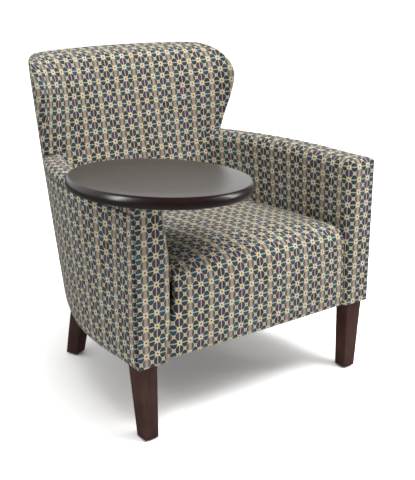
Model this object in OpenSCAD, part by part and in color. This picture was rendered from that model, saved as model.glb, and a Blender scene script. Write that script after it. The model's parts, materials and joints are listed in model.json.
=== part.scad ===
// Tablet-arm lounge chair: an upholstered tub chair with wings, four wooden legs
// and a round wooden tablet that swivels on the arm at the sitter's right.
// Millimetres. +Z is up, the chair faces -Y, and the origin is on the floor on the centre plane.

/* [Body] */
// Width over the arms at the front
chair_w = 762; // [700:1:840]
// Distance from the origin forward to the arm fronts
front_reach = 360; // [330:1:400]
// Height of the upholstery's lower edge above the floor
base_z = 200; // [150:1:240]
// Straight run of the side panel behind the arm front
side_run = 154; // [120:1:200]
// Plan radius of the side panel
side_r = 743; // [680:1:820]
// Angle through which the side panel turns
side_turn = 30; // [26:1:33]
// Plan radius of the rear corner
corner_r = 120; // [110:1:150]
// Angle through which the rear corner turns
corner_turn = 40; // [36:1:43]
// Backward lean of the back
rake = 11.2; // [8:0.2:14]
// Outward flare of the side at the arm top
side_flare = 16; // [8:1:24]
// Outward flare of the wings at their tops
wing_flare = 17; // [12:1:24]

/* [Covers] */
// Thickness of the outside cover with its backing board
cover_t = 7; // [5:0.5:8]
// Depth of the frame space behind the outside cover
frame_space = 27; // [26:1:32]
// Height over which the outside cover rolls under at its lower edge
roll_h = 40; // [30:1:50]
// Depth by which the outside cover rolls under at its lower edge
roll_d = 6; // [3:0.5:6]
// Fitting gap between neighbouring soft pieces
soft_gap = 0.6; // [0.4:0.1:1]
// Fitting gap between a cover and the wood under it
seat_gap = 0.8; // [0.7:0.1:1]

/* [Arms] */
// Height of the arm top above the floor
arm_top_z = 604; // [580:1:640]
// Thickness of the arm wall
arm_w = 84; // [82:1:92]
// Thickness of the padding on the arm top
arm_pad_t = 25; // [20:1:32]
// Thickness of the padding on the inside of the arm
arm_side_t = 27; // [22:1:30]
// Thickness of the padded arm front
facing_t = 22; // [18:1:28]
// Rounding of the arm's top edges
arm_round = 18; // [12:1:20]

/* [Back] */
// Height of the back's top edge above the floor
back_top_z = 870; // [840:1:900]
// Wall thickness of the back at the arm top
back_t = 90; // [86:1:98]
// Wall thickness of the back at its top edge
back_top_t = 62; // [56:1:70]
// Distance of the wing's front edge behind the origin at the arm top
wing_y = 205; // [196:1:215]
// Forward sweep of the wing's front edge between the arm top and the ear
wing_sweep = 24; // [10:1:30]
// Rounding of the ear, seen from the front
ear_r = 82; // [60:1:110]
// Fall of the back's top edge from the middle to the wings
top_arch = 4; // [0:1:30]
// Lower edge of the inside back
back_pad_z = 372; // [360:1:390]

/* [Seat] */
// Height of the seat's front edge above the floor
seat_front_z = 430; // [410:1:450]
// Fall of the seat from front to rear
seat_fall = 14; // [5:1:25]
// Rise of the crown in the middle of the seat
seat_crown = 22; // [10:1:30]
// Radius of the waterfall front edge
seat_nose_r = 42; // [30:1:50]
// Thickness of the padded seat front
seat_front_t = 25; // [20:1:30]
// Forward swell of the seat front
seat_swell = 4; // [2:1:6]

/* [Frame] */
// Thickness of the hardwood rails
rail_t = 22; // [18:1:23]
// Height of the seat rails
rail_h = 92; // [80:1:96]
// Thickness of the arm board
arm_board_t = 22; // [18:1:26]
// Width of the front post
post_w = 46; // [40:1:47]
// Depth of the front post
post_d = 38; // [30:1:44]
// Thickness of the back post
back_post_t = 20; // [16:1:20]

/* [Springs] */
// Number of sinuous seat springs
spring_count = 5; // [4:1:6]
// Waves along one spring
spring_waves = 7; // [5:1:8]
// Wire diameter of a spring
spring_wire = 3.8; // [3:0.2:4.2]
// Width of a spring across its waves
spring_w = 50; // [40:1:54]
// Rise of the spring's arch
spring_rise = 30; // [20:1:34]

/* [Legs] */
// Width of a front leg at the top
leg_top_w = 54; // [48:1:58]
// Depth of a front leg at the top
leg_top_d = 44; // [40:1:54]
// Width of a leg at the floor
leg_foot_w = 38; // [32:1:42]
// Setback of the front legs behind the arm fronts
leg_setback = 14; // [10:1:20]
// Setback of the front leg's outer face at the top
leg_side_setback = 9; // [6:1:14]
// Width of a rear leg at the top
rear_leg_top_w = 46; // [42:1:50]
// Rearward rake of the rear legs
rear_leg_rake = 12; // [8:1:15]
// Distance of the rear leg's axis behind the outside cover, at its top
rear_leg_in = 38.5; // [36:0.5:44]
// Height of the floor glides
glide_h = 4; // [3:0.5:6]
// Diameter of the floor glides
glide_d = 25; // [20:1:30]
// Diameter of the leg bolts
leg_bolt_d = 8; // [6:1:10]
// Thickness of the leg plates
leg_plate_t = 3; // [2:0.5:4]

/* [Tablet] */
// Diameter of the tablet
tablet_d = 430; // [380:1:460]
// Thickness of the tablet
tablet_t = 26; // [24:1:32]
// Space between the arm top and the tablet
tablet_lift = 9.5; // [9:0.5:12]
// Distance of the pivot behind the arm front
pivot_back = 122; // [100:1:140]
// Sideways offset of the tablet's centre from the pivot
tablet_off_x = 98; // [80:1:110]
// Forward offset of the tablet's centre from the pivot
tablet_off_y = 43; // [20:1:60]
// Lean of the pivot toward the sitter
tablet_tilt = 3.1; // [0:0.1:3.5]
// Diameter of the pivot shaft
shaft_d = 22; // [18:1:24]
// Running clearance of the shaft in its bushes, on the radius
shaft_clear = 0.06; // [0.03:0.01:0.1]
// Wall of the pivot bushes
bush_t = 2.5; // [2:0.5:3]
// Wall of the pivot socket
socket_t = 3.5; // [3:0.5:5]
// Length of the pivot socket below the arm board's top
socket_l = 78; // [60:1:90]
// Diameter of the socket's flange
flange_d = 46; // [44:1:48]
// Diameter of the steel plate under the tablet
plate_d = 130; // [110:1:150]
// Thickness of the steel plate under the tablet
plate_t = 3.5; // [3:0.5:4]

/* [Hidden] */

$fn = 48;

// Colours of the finishes
fabric_col = "#8f8a7a";
stain_col = "#3a2623";
frame_col = "#c8a878";
steel_col = "#9a9da0";
dark_col = "#2b2b2b";
nylon_col = "#e6e2d8";

// Levels through the body
front_y = -front_reach;
frame_z = base_z + leg_plate_t;
rail_top_z = frame_z + rail_h;
arm_board_top = arm_top_z - arm_pad_t - seat_gap;
cover_top_z = arm_board_top;
rim_r = back_top_t / 2;
rim_z = back_top_z - rim_r;
hook_z = rim_z - 2;
wing_z = arm_top_z + soft_gap;
frame_in = cover_t + frame_space;
board_w = arm_w - arm_side_t - cover_t - 2 * seat_gap;

// Stations along half of the plan outline: 0 to 1 is the straight side, 1 to 2 the curved side,
// 2 to 3 the rear corner and 3 to 4 the back as far as the centre plane
SIDE = 1;
CORNER = 2;
BACK = 3;
MIDDLE = 4;
seam_at = 2.5;
wing_seam = 1.94;
step_t = 0.004;
arm_end = wing_seam - step_t;
back_angle = side_turn + corner_turn;
side_y = front_y + side_run;
side_end = [-chair_w / 2 + side_r * (1 - cos(side_turn)), side_y + side_r * sin(side_turn)];
corner_c = [side_end[0] + corner_r * cos(side_turn), side_end[1] - corner_r * sin(side_turn)];
back_start = [corner_c[0] - corner_r * cos(back_angle), corner_c[1] + corner_r * sin(back_angle)];
back_r = -back_start[0] / cos(back_angle);
back_cy = back_start[1] - back_r * sin(back_angle);

function mix(a, b, f) = a + (b - a) * f;
function clamp01(f) = min(1, max(0, f));
function smooth(f) = let (c = clamp01(f)) c * c * (3 - 2 * c);

// Tangent angle of the outline at a station
function plan_angle(t) =
    t < SIDE ? 0 :
    t < CORNER ? side_turn * (t - SIDE) :
    t < BACK ? side_turn + corner_turn * (t - CORNER) :
    mix(back_angle, 90, t - BACK);

// Point of the outline at a station, on the left half and at the lower edge
function plan_point(t) = let (a = plan_angle(t))
    t < SIDE ? [-chair_w / 2, front_y + side_run * t] :
    t < CORNER ? [-chair_w / 2 + side_r * (1 - cos(a)), side_y + side_r * sin(a)] :
    t < BACK ? corner_c + corner_r * [-cos(a), sin(a)] :
    [-back_r * cos(a), back_cy + back_r * sin(a)];

// Backward lean and outward flare of the wall at a station and height. Both begin at turn_start,
// so the wall is a flat upright plane in front of it
turn_start = 0.5;
function lean(t, z) = tan(rake) * (z - base_z) * smooth((t - turn_start) / (2 - turn_start));
function flare(t, z) = smooth(t - turn_start) * (z < arm_top_z
    ? side_flare * (z - base_z) / (arm_top_z - base_z)
    : mix(side_flare, wing_flare, (z - arm_top_z) / (back_top_z - arm_top_z)));

// Point of the wall at a station, a height and a depth behind its outer face
function wall_half(t, z, d) = let (p = plan_point(t), a = plan_angle(t), o = flare(t, z) - d)
    [p[0] - o * cos(a), p[1] + o * sin(a) + lean(t, z), z];
function wall(t, z, d) = t <= MIDDLE ? wall_half(t, z, d)
    : let (p = wall_half(2 * MIDDLE - t, z, d)) [-p[0], p[1], p[2]];

// Height on the back after the fall of its top edge toward the wings
function arched(t, z) = z < wing_z ? z
    : z - top_arch * pow((MIDDLE - min(t, 2 * MIDDLE - t)) / 2, 2) * (z - wing_z) / (back_top_z - wing_z);

// Station on the straight side at a distance behind the arm front
function side_station(y) = y / side_run;

// Knots that every curved board and cover shares, so that nested faces stay parallel
KNOTS = [turn_start, 0.67, 0.83, 1, 1.17, 1.33, 1.5, 1.67, 1.83, 2, 2.25, 2.5, 2.75, 3, 3.33, 3.67, 4];
ALL_KNOTS = concat(KNOTS, [for (i = [len(KNOTS) - 2:-1:0]) 2 * MIDDLE - KNOTS[i]]);
function stations(t0, t1) = concat([t0], [for (t = ALL_KNOTS) if (t > t0 + 0.02 && t < t1 - 0.02) t], [t1]);

function reverse(list) = [for (i = [len(list) - 1:-1:0]) list[i]];

// Closed skin over rings of equal length. Each ring is one chain of points and then its
// partner chain backwards, so the two end caps are strips between the chains.
module loft(rings) {
    n = len(rings[0]);
    m = len(rings);
    half = n / 2;
    points = [for (ring = rings) each ring];
    sides = [for (i = [0:m - 2]) for (j = [0:n - 1]) let (k = (j + 1) % n, a = i * n, b = a + n)
        each [[a + j, b + j, b + k], [a + j, b + k, a + k]]];
    caps = [for (j = [0:half - 2]) let (p = n - 1 - j, e = (m - 1) * n)
        each [[j, j + 1, p], [j + 1, p - 1, p], [e + j, e + p, e + j + 1], [e + j + 1, e + p, e + p - 1]]];
    polyhedron(points, concat(sides, caps));
}

// Curved board that follows the wall between two stations, heights and depths
module board(t0, t1, z0, z1, d0, d1) {
    loft([for (t = stations(t0, t1))
        [wall(t, z0, d0), wall(t, z1, d0), wall(t, z1, d1), wall(t, z0, d1)]]);
}

// The same piece on the chair's other side
module other_side() {
    mirror([1, 0, 0]) children();
}

// Legs

leg_top_z = base_z;
leg_setin = 5;
leg_out_x = chair_w / 2 - leg_side_setback;
leg_in_x = leg_out_x - leg_top_w;
leg_front_y = front_y + leg_setback;
front_leg_bolt = [-leg_in_x - leg_top_w / 2, leg_front_y + leg_setin + leg_top_d / 2];
front_glide = [-leg_in_x - leg_foot_w / 2, leg_front_y + leg_foot_w / 2];
bolt_depth = 40;
bolt_rise = 30;
bolt_clear = 0.1;

// Tapered square leg: the inner and front faces are upright, the outer and rear faces taper
module front_leg_blank() {
    intersection() {
        translate([0, leg_front_y + leg_top_d, 0])
            rotate([90, 0, 0])
                linear_extrude(leg_top_d)
                    polygon([[-leg_in_x, glide_h], [-leg_in_x, leg_top_z],
                        [-leg_out_x, leg_top_z], [-leg_in_x - leg_foot_w, glide_h]]);
        translate([-leg_out_x, 0, 0])
            rotate([90, 0, 90])
                linear_extrude(leg_top_w)
                    polygon([[leg_front_y, glide_h], [leg_front_y + leg_foot_w, glide_h],
                        [leg_front_y + leg_top_d, leg_top_z], [leg_front_y, leg_top_z]]);
    }
}

module bolt_hole(at, z0, z1) {
    translate([at[0], at[1], z0])
        cylinder(h = z1 - z0, r = leg_bolt_d / 2 + bolt_clear);
}

module front_leg_left() {
    color(stain_col)
        difference() {
            front_leg_blank();
            bolt_hole(front_leg_bolt, leg_top_z - bolt_depth, leg_top_z + 1);
        }
}

module front_leg_right() {
    other_side() front_leg_left();
}

// The rear leg follows the curve of the back, so it stands turned in plan
rear_leg_turn = 90 - back_angle;
rear_leg_at = 2.63;
rear_leg_place = wall_half(rear_leg_at, base_z, rear_leg_in);
rear_leg_top = [rear_leg_place[0], rear_leg_place[1]];
rear_leg_kick = tan(rear_leg_rake) * leg_top_z;
rear_foot = rear_leg_top + rear_leg_kick * [-sin(rear_leg_turn), cos(rear_leg_turn)];

module rear_leg_blank() {
    top = rear_leg_top_w / 2;
    foot = leg_foot_w / 2;
    kick = rear_leg_kick * (leg_top_z - glide_h) / leg_top_z;
    translate([rear_leg_top[0], rear_leg_top[1], 0])
        rotate(rear_leg_turn)
            intersection() {
                translate([0, rear_leg_top_w + kick, 0])
                    rotate([90, 0, 0])
                        linear_extrude(2 * rear_leg_top_w + kick)
                            polygon([[-foot, glide_h], [foot, glide_h],
                                [top, leg_top_z], [-top, leg_top_z]]);
                translate([-top, 0, 0])
                    rotate([90, 0, 90])
                        linear_extrude(rear_leg_top_w)
                            polygon([[kick - foot, glide_h], [kick + foot, glide_h],
                                [top, leg_top_z], [-top, leg_top_z]]);
            }
}

module rear_leg_left() {
    color(stain_col)
        difference() {
            rear_leg_blank();
            bolt_hole(rear_leg_top, leg_top_z - bolt_depth, leg_top_z + 1);
        }
}

module rear_leg_right() {
    other_side() rear_leg_left();
}

// Places of the four legs, as the sitter's right pair and its mirror image
module at_legs(front, rear) {
    for (side = [-1, 1])
        for (at = [front, rear])
            translate([-side * at[0], at[1], 0])
                children();
}

rear_glide = rear_foot - tan(rear_leg_rake) * glide_h * [-sin(rear_leg_turn), cos(rear_leg_turn)];

module leg_glides() {
    color(dark_col)
        at_legs(front_glide, rear_glide)
            cylinder(h = glide_h, d1 = glide_d - 2, d2 = glide_d);
}

leg_plate_w = 36;

module leg_plates() {
    color(steel_col)
        at_legs(front_leg_bolt, rear_leg_top)
            translate([0, 0, base_z])
                difference() {
                    translate([-leg_plate_w / 2, -leg_plate_w / 2, 0])
                        cube([leg_plate_w, leg_plate_w, leg_plate_t]);
                    translate([0, 0, -1])
                        cylinder(h = leg_plate_t + 2, r = leg_bolt_d / 2 + bolt_clear);
                }
}

module leg_bolts() {
    color(steel_col)
        at_legs(front_leg_bolt, rear_leg_top)
            translate([0, 0, leg_top_z - bolt_depth])
                cylinder(h = bolt_depth + leg_plate_t + bolt_rise, d = leg_bolt_d);
}

// Hardwood frame

board_d0 = cover_t + seat_gap;
front_rail_y = front_y + seat_front_t + seat_gap;
post_y = front_y + facing_t + seat_gap;
post_out_x = chair_w / 2 - board_d0;
post_in_x = post_out_x - post_w;

module front_rail() {
    color(frame_col)
        translate([-post_in_x, front_rail_y, frame_z])
            cube([2 * post_in_x, rail_t, rail_h]);
}

module front_post_left() {
    color(frame_col)
        difference() {
            translate([-post_out_x, post_y, frame_z])
                cube([post_w, post_d, arm_board_top - arm_board_t - frame_z]);
            bolt_hole(front_leg_bolt, frame_z - 1, frame_z + bolt_rise + 1);
        }
}

module front_post_right() {
    other_side() front_post_left();
}

rail_start = side_station(facing_t + seat_gap + post_d);
rail_end = 2.2;

module side_rail_left() {
    color(frame_col)
        board(rail_start, rail_end, frame_z, rail_top_z, board_d0, board_d0 + rail_t);
}

module side_rail_right() {
    other_side() side_rail_left();
}

// The rear rail runs round the back between the side rails
module rear_rail() {
    color(frame_col)
        board(rail_end, 2 * MIDDLE - rail_end, frame_z, rail_top_z, board_d0, board_d0 + rail_t);
}

block_h = 42;
block_w = 66;
rear_block = [32, 50];
rear_block_back = 4;

// Glue blocks: front ones lock the side rails to the front rail, rear ones carry the rear legs
module corner_blocks() {
    front_x = chair_w / 2 - board_d0 - rail_t;
    front_in_y = front_rail_y + rail_t;
    for (side = [0, 1])
        mirror([side, 0, 0])
            color(frame_col) {
                translate([0, 0, frame_z])
                    linear_extrude(block_h)
                        polygon([[-post_in_x, front_in_y], [-post_in_x + block_w, front_in_y],
                            [-front_x, post_y + post_d + block_w], [-front_x, post_y + post_d],
                            [-post_in_x, post_y + post_d]]);
                difference() {
                    translate([rear_leg_top[0], rear_leg_top[1], frame_z])
                        rotate(rear_leg_turn)
                            translate([-rear_block[0] / 2, rear_block_back - rear_block[1], 0])
                                cube([rear_block[0], rear_block[1], block_h]);
                    bolt_hole(rear_leg_top, frame_z - 1, frame_z + block_h + 1);
                }
            }
}

// Straight raked post inside the rear corner
back_post_at = [2.08, 2.64];
top_rail_h = 70;
top_rail_in = 6;
back_post_top = rim_z - top_rail_h;

module back_post_left() {
    color(frame_col)
        loft([for (t = back_post_at)
            [wall(t, rail_top_z, board_d0), wall(t, back_post_top, board_d0),
                wall(t, back_post_top, board_d0 + back_post_t),
                wall(t, rail_top_z, board_d0 + back_post_t)]]);
}

module back_post_right() {
    other_side() back_post_left();
}

// Padded board on the front post that reaches back to the wing board
module arm_board_left() {
    color(frame_col)
        difference() {
            board(side_station(facing_t + seat_gap), arm_end,
                arm_board_top - arm_board_t, arm_board_top, board_d0, board_d0 + board_w);
            at_pivot(arm_board_top - arm_board_t - 5)
                cylinder(h = arm_board_t + 10, r = socket_r + bolt_clear);
            at_pivot(flange_seat - socket_screw_l)
                screw_circle(flange_circle, 4)
                    cylinder(h = socket_screw_l + 5, d = screw_d + 2 * bolt_clear);
        }
}

module arm_board_right() {
    color(frame_col)
        other_side()
            board(side_station(facing_t + seat_gap), arm_end,
                arm_board_top - arm_board_t, arm_board_top, board_d0, board_d0 + board_w);
}

// Plywood wing between the end of the arm board and the back post
wing_board_t = 16;
wing_board_top = back_top_z - ear_r;

module wing_board_left() {
    color(frame_col)
        board(arm_end + 0.002, back_post_at[0] - 0.004, arm_board_top - arm_board_t, wing_board_top,
            board_d0, board_d0 + wing_board_t);
}

module wing_board_right() {
    other_side() wing_board_left();
}

top_rail_z = back_post_top + seat_gap / 2;
lower_rail_z = 405;
lower_rail_h = 45;

module back_top_rail() {
    color(frame_col)
        board(back_post_at[0], 2 * MIDDLE - back_post_at[0], top_rail_z, rim_z - top_arch - top_rail_in,
            board_d0, board_d0 + back_post_t);
}

module back_lower_rail() {
    color(frame_col)
        board(back_post_at[1] + step_t, 2 * MIDDLE - back_post_at[1] - step_t, lower_rail_z,
            lower_rail_z + lower_rail_h, board_d0, board_d0 + back_post_t);
}

web_w = 0.25;
web_t = 1.5;
web_count = 5;
web_pitch = 0.42;
web_lap = 0.25;
web_d = board_d0 + back_post_t + 1.1;

// Elastic straps up the back between its two rails, under the inside back
module back_webbing() {
    color(dark_col)
        for (i = [0:web_count - 1]) {
            t = MIDDLE + (i - (web_count - 1) / 2) * web_pitch;
            board(t - web_w / 2, t + web_w / 2, lower_rail_z + web_lap * lower_rail_h,
                top_rail_z + web_lap * top_rail_h, web_d, web_d + web_t);
        }
}

// Seat suspension

spring_front = front_rail_y + rail_t / 2;
spring_z = rail_top_z + spring_wire / 2 + 1.5;
spring_side = 80;
spring_pitch = 2 * (post_in_x - spring_side) / spring_count;
spring_sides = 6;
spring_steps = 8;

// Wire centre along a spring: a flat wave that arches up between the rails
function spring_point(x, f) =
    [x + spring_w / 2 * sin(360 * spring_waves * f), mix(spring_front, spring_rear_at(x), f),
        spring_z + spring_rise * sin(180 * f)];
function spring_rear_at(x) = back_cy + sqrt(pow(back_r - board_d0 - rail_t / 2, 2) - x * x);

module seat_springs() {
    steps = spring_waves * spring_steps;
    color(steel_col)
        for (i = [0:spring_count - 1]) {
            x = (i - (spring_count - 1) / 2) * spring_pitch;
            loft([for (k = [0:steps]) let (
                f = k / steps,
                p = spring_point(x, f),
                run = spring_point(x, f + 0.002) - spring_point(x, f - 0.002),
                heading = atan2(run[1], run[0]))
                [for (s = [0:spring_sides - 1]) let (b = 360 * (s + 0.5) / spring_sides)
                    p + spring_wire / 2 * [-sin(heading) * cos(b), cos(heading) * cos(b), sin(b)]]]);
        }
}

clip_l = 18;
clip_w = 18;
clip_t = 1.2;

// Steel clips that hold the spring ends on the rails
module spring_clips() {
    color(steel_col)
        for (i = [0:spring_count - 1]) {
            x = (i - (spring_count - 1) / 2) * spring_pitch;
            for (y = [spring_front, spring_rear_at(x)])
                translate([x - clip_w / 2, y - clip_l / 2, rail_top_z])
                    cube([clip_w, clip_l, clip_t]);
        }
}

dust_t = 1;
dust_hem = 14;
dust_edge = cover_t + dust_hem;
dust_front = 30;

// Thin cloth under the frame, cut away round the leg plates
module dust_cover() {
    edge = [for (t = stations(side_station(facing_t + dust_front), MIDDLE)) wall(t, base_z, dust_edge)];
    outline = [for (p = edge) [p[0], p[1]]];
    mirrored = [for (p = reverse(outline)) [-p[0], p[1]]];
    color(dark_col)
        translate([0, 0, frame_z - dust_t])
            linear_extrude(dust_t)
                difference() {
                    polygon(concat(outline, mirrored));
                    at_legs(front_leg_bolt, rear_leg_top)
                        square(leg_plate_w + 8, center = true);
                }
}

// Upholstery

// Seat: crowned top, waterfall front and a padded front that drops to the lower edge
seat_side_d = arm_w + soft_gap;
seat_rear = arm_end - 0.006;
seat_rows = [0, 0.5, 0.83, 1.17, 1.5, 1.83, seat_rear];
seat_cols = 16;
back_clear = soft_gap + 1;
corner_ease = 1.08;
deck_z = rail_top_z + spring_rise + spring_wire + 3;

function seat_half_w(t, z) = -wall_half(t, z, seat_side_d)[0];
function seat_y(t, z = seat_front_z) = wall_half(t, z, seat_side_d)[1];
function seat_crown_at(u) = seat_crown * (1 - pow(abs(u), 2.4));
function seat_back_f(y) = clamp01((y - front_y) / (seat_y(seat_rear) - front_y));
function seat_top(u, y) = let (f = seat_back_f(y))
    seat_front_z + seat_crown_at(u) * smooth(0.25 + 3 * f) * (1 - 0.5 * f) - seat_fall * f;
// Inner face of the back in plan: distance behind the origin at a sideways place and height
function back_face(x, z) = let (o = flare(MIDDLE, z) - back_t - back_clear, cx = -abs(x) - corner_c[0])
    lean(MIDDLE, z) + (abs(x) < (back_r + o) * cos(back_angle)
        ? back_cy + sqrt(pow(back_r + o, 2) - x * x)
        : corner_c[1] + sqrt(max(0, pow(corner_r + o, 2) - cx * cx)));
function seat_row(u, t, z) = let (
    f = pow(seat_back_f(seat_y(t)), 3), rear_w = seat_half_w(seat_rear, z),
    bow = back_face(min(1, abs(u) * corner_ease) * rear_w, z) - back_face(rear_w, z))
    [u * seat_half_w(t, z), seat_y(t, z) + f * bow, z];
function seat_nose(u, a) = let (top = seat_top(u, front_y + seat_nose_r))
    [u * seat_half_w(0, base_z), front_y + seat_nose_r * (1 - cos(a)) - seat_swell * (1 - u * u) * cos(a),
        top - seat_nose_r * (1 - sin(a))];

nose_steps = 6;
deck_front_y = front_y + seat_front_t;

// Heights over the lower edge at which the padded front is shaped
front_h = seat_front_z - base_z;
SEAT_DROP = [0.45 * front_h, 0.3 * roll_h, 0.12 * roll_h, 0];
function seat_front(u, h) = let (swell = seat_swell * h / front_h * (1 - u * u))
    [u * seat_half_w(0, base_z), front_y + roll_in(base_z + h) - swell, base_z + h];

function seat_outer(u) = concat(
    [for (t = reverse(seat_rows)) if (t > 0) seat_row(u, t, seat_top(u, seat_y(t)))],
    [for (k = [nose_steps:-1:0]) seat_nose(u, 90 * k / nose_steps)],
    [for (h = SEAT_DROP) seat_front(u, h)]);

// Underside, one point for each of the upper chain: the deck first and then the front's inner face
function seat_under(u) = let (
    outer = seat_outer(u), n = len(outer), rows = len(seat_rows) - 1, drop = n - len(SEAT_DROP) - 1,
    deck_y = seat_y(seat_rows[1]))
    [for (i = [0:n - 1])
        i < rows ? seat_row(u, seat_rows[rows - i], deck_z) :
        i < drop ? [outer[i][0], mix(deck_y, deck_front_y, (i - rows + 1) / (drop - rows)), deck_z] :
        [outer[i][0], deck_front_y, mix(deck_z, base_z, (i - drop + 1) / (n - drop))]];

module seat() {
    color(fabric_col)
        loft([for (c = [0:seat_cols]) let (u = 2 * c / seat_cols - 1)
            concat(seat_outer(u), reverse(seat_under(u)))]);
}

// Arm padding: an angle section that covers the inside and the top of the arm
arm_in_z = deck_z + 5;
arm_steps = 4;
arm_start = side_station(facing_t + soft_gap);

function arm_outer(t) = let (r = arm_round, top = arm_top_z)
    concat([wall_half(t, arm_in_z, arm_w), wall_half(t, mix(arm_in_z, top - r, 0.5), arm_w)],
        [for (k = [0:arm_steps]) let (b = 90 * k / arm_steps)
            wall_half(t, top - r * (1 - sin(b)), arm_w - r * (1 - cos(b)))],
        [for (k = [arm_steps:-1:0]) let (b = 90 * k / arm_steps)
            wall_half(t, top - r * (1 - sin(b)), r * (1 - cos(b)))],
        [wall_half(t, arm_board_top + seat_gap, 0)]);
function arm_inner(t) = let (
    d = board_d0 + board_w + seat_gap, z = arm_board_top + seat_gap, n = len(arm_outer(t)))
    concat([wall_half(t, arm_in_z, d), wall_half(t, mix(arm_in_z, z, 0.5), d)],
        [for (k = [0:n - 4]) wall_half(t, z, mix(d, 1, k / (n - 3)))],
        [wall_half(t, z, 0.5)]);

module arm_pad_blank() {
    loft([for (t = stations(arm_start, arm_end)) concat(arm_inner(t), reverse(arm_outer(t)))]);
}

module arm_pad_left() {
    color(fabric_col)
        difference() {
            arm_pad_blank();
            at_pivot(arm_board_top - arm_round)
                cylinder(h = arm_pad_t + 2 * arm_round, d = flange_d + 2 * soft_gap);
        }
}

module arm_pad_right() {
    color(fabric_col) other_side() arm_pad_blank();
}

// Arm front: a padded panel with a soft crown and rounded top corners
facing_steps = 5;

function facing_outline(inset) = let (
    r = arm_round - 2, x0 = -chair_w / 2 + inset, x1 = -chair_w / 2 + arm_w - inset,
    z0 = base_z + inset, z1 = arm_top_z - inset, c = max(3, r - inset))
    concat([[x0, z0], [x0, mix(z0, z1, 0.5)]],
        [for (k = [0:facing_steps]) let (b = 90 * k / facing_steps)
            [x0 + c * (1 - cos(b)), z1 - c * (1 - sin(b))]],
        [for (k = [facing_steps:-1:0]) let (b = 90 * k / facing_steps)
            [x1 - c * (1 - cos(b)), z1 - c * (1 - sin(b))]],
        [[x1, mix(z0, z1, 0.5)], [x1, z0]]);

// Depth of the crown, as pairs of inset from the edge and setback from the front
FACING_CROWN = [[0, 22], [0, 9], [1.2, 5], [4, 2], [9, 0.5], [18, 0]];

module arm_front_left() {
    color(fabric_col)
        loft([for (step = reverse(FACING_CROWN)) let (back = step[1] * facing_t / FACING_CROWN[0][1])
            [for (p = facing_outline(step[0])) [p[0], front_y + back, p[1]]]]);
}

module arm_front_right() {
    other_side() arm_front_left();
}

// Inside back with its wings: a curved pad that hooks over the wings and the top of the frame
hook_d = 1;
ear_z = back_top_z - ear_r;
tip_steps = [0, 0.06, 0.2, 0.5, 1];
tip_round = [0.25, 0.66, 0.92, 1, 1];

// Station of the wing's front edge at a height
function wing_front(z) = mix(wing_y, wing_y - wing_sweep, smooth((z - arm_top_z) / (ear_z - arm_top_z)));
function wing_tip(z) = let (
    y = wing_front(z) - tan(rake) * (z - base_z) - side_y,
    ear = z > ear_z ? ear_r - sqrt(max(0, pow(ear_r, 2) - pow(z - ear_z, 2))) : 0)
    min(wing_seam - 0.05, SIDE + (asin(y / side_r) + ear / side_r * 180 / PI) / side_turn);

back_knots = [2.25, 2.5, 2.75, 3, 3.25, 3.5, 3.75, MIDDLE];
foot_knots = [for (i = [0:5]) arm_end + 0.03 + 0.03 * i];
function back_stations(z) = z < wing_z ? concat(foot_knots, back_knots)
    : let (tip = [for (f = tip_steps) mix(wing_tip(z), wing_seam - 2.5 * step_t, f)])
        concat(tip, [wing_seam - 2 * step_t], back_knots);

function wall_depth(z) = mix(back_t, back_top_t, smooth((z - arm_top_z) / (rim_z - arm_top_z)));
function pad_out(z, i) = z > hook_z || (z >= wing_z && i < len(tip_steps)) ? hook_d : frame_in + soft_gap;
function tip_f(z, i) = z >= wing_z && i < len(tip_round) ? tip_round[i] : 1;

// One chain of the pad at a height: side is 1 for the inside face and -1 for the outside face
function pad_chain(z, f, side) = let (ts = back_stations(min(z, rim_z + rim_r * 0.98)), n = len(ts))
    concat([for (i = [0:n - 1]) pad_point(ts[i], z, i, f, side)],
        [for (i = [n - 2:-1:0]) let (p = pad_point(ts[i], z, i, f, side)) [-p[0], p[1], p[2]]]);
function pad_point(t, z, i, f, side) = let (
    d0 = pad_out(z, i), d1 = wall_depth(z), half = (d1 - d0) / 2 * f * tip_f(z, i))
    wall_half(t, arched(t, z), (d0 + d1) / 2 + side * half);

rim_steps = 5;
rim_end = 84;
rim_swell = 1.5;
step_z = 0.05;
BACK_LEVELS = concat(
    [back_pad_z, mix(back_pad_z, arm_top_z, 0.5), wing_z - step_z, wing_z],
    [for (f = [0.15, 0.3, 0.45, 0.6, 0.72, 0.82, 0.91, 1]) mix(wing_z, hook_z, f)]);

module inside_back() {
    plain = [for (z = BACK_LEVELS) [z, 1]];
    rim = [for (k = [0:rim_steps]) let (b = rim_end * k / rim_steps)
        [hook_z + step_z + (rim_r + rim_swell) * sin(b), cos(b)]];
    color(fabric_col)
        loft([for (level = concat(plain, rim))
            concat(pad_chain(level[0], level[1], 1), reverse(pad_chain(level[0], level[1], -1)))]);
}

// Outside covers: stretched cloth on a thin backing board, rolled under at the lower edge
ROLL_STEPS = [0, 0.12, 0.3, 0.6, 1];
function roll_in(z) = roll_d * pow(1 - clamp01((z - base_z) / roll_h), 2);

module cover(t0, t1, wing) {
    loft([for (t = concat(wing > t0 ? stations(t0, wing - step_t) : [], stations(max(t0, wing), t1)))
        let (top = t >= wing ? arched(t, hook_z - soft_gap) : cover_top_z)
        let (mid = t >= wing ? arm_top_z : mix(base_z, top, 0.5))
        let (heights = concat([for (f = ROLL_STEPS) base_z + roll_h * f], [mid, top]))
        concat([for (z = heights) wall(t, z, roll_in(z))],
            [for (z = reverse(heights)) wall(t, z, cover_t)])]);
}

module outside_arm_left() {
    color(fabric_col) cover(arm_start, seam_at, wing_seam);
}

module outside_arm_right() {
    other_side() outside_arm_left();
}

module outside_back() {
    color(fabric_col) cover(seam_at, 2 * MIDDLE - seam_at, seam_at);
}

// Swivel tablet

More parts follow.
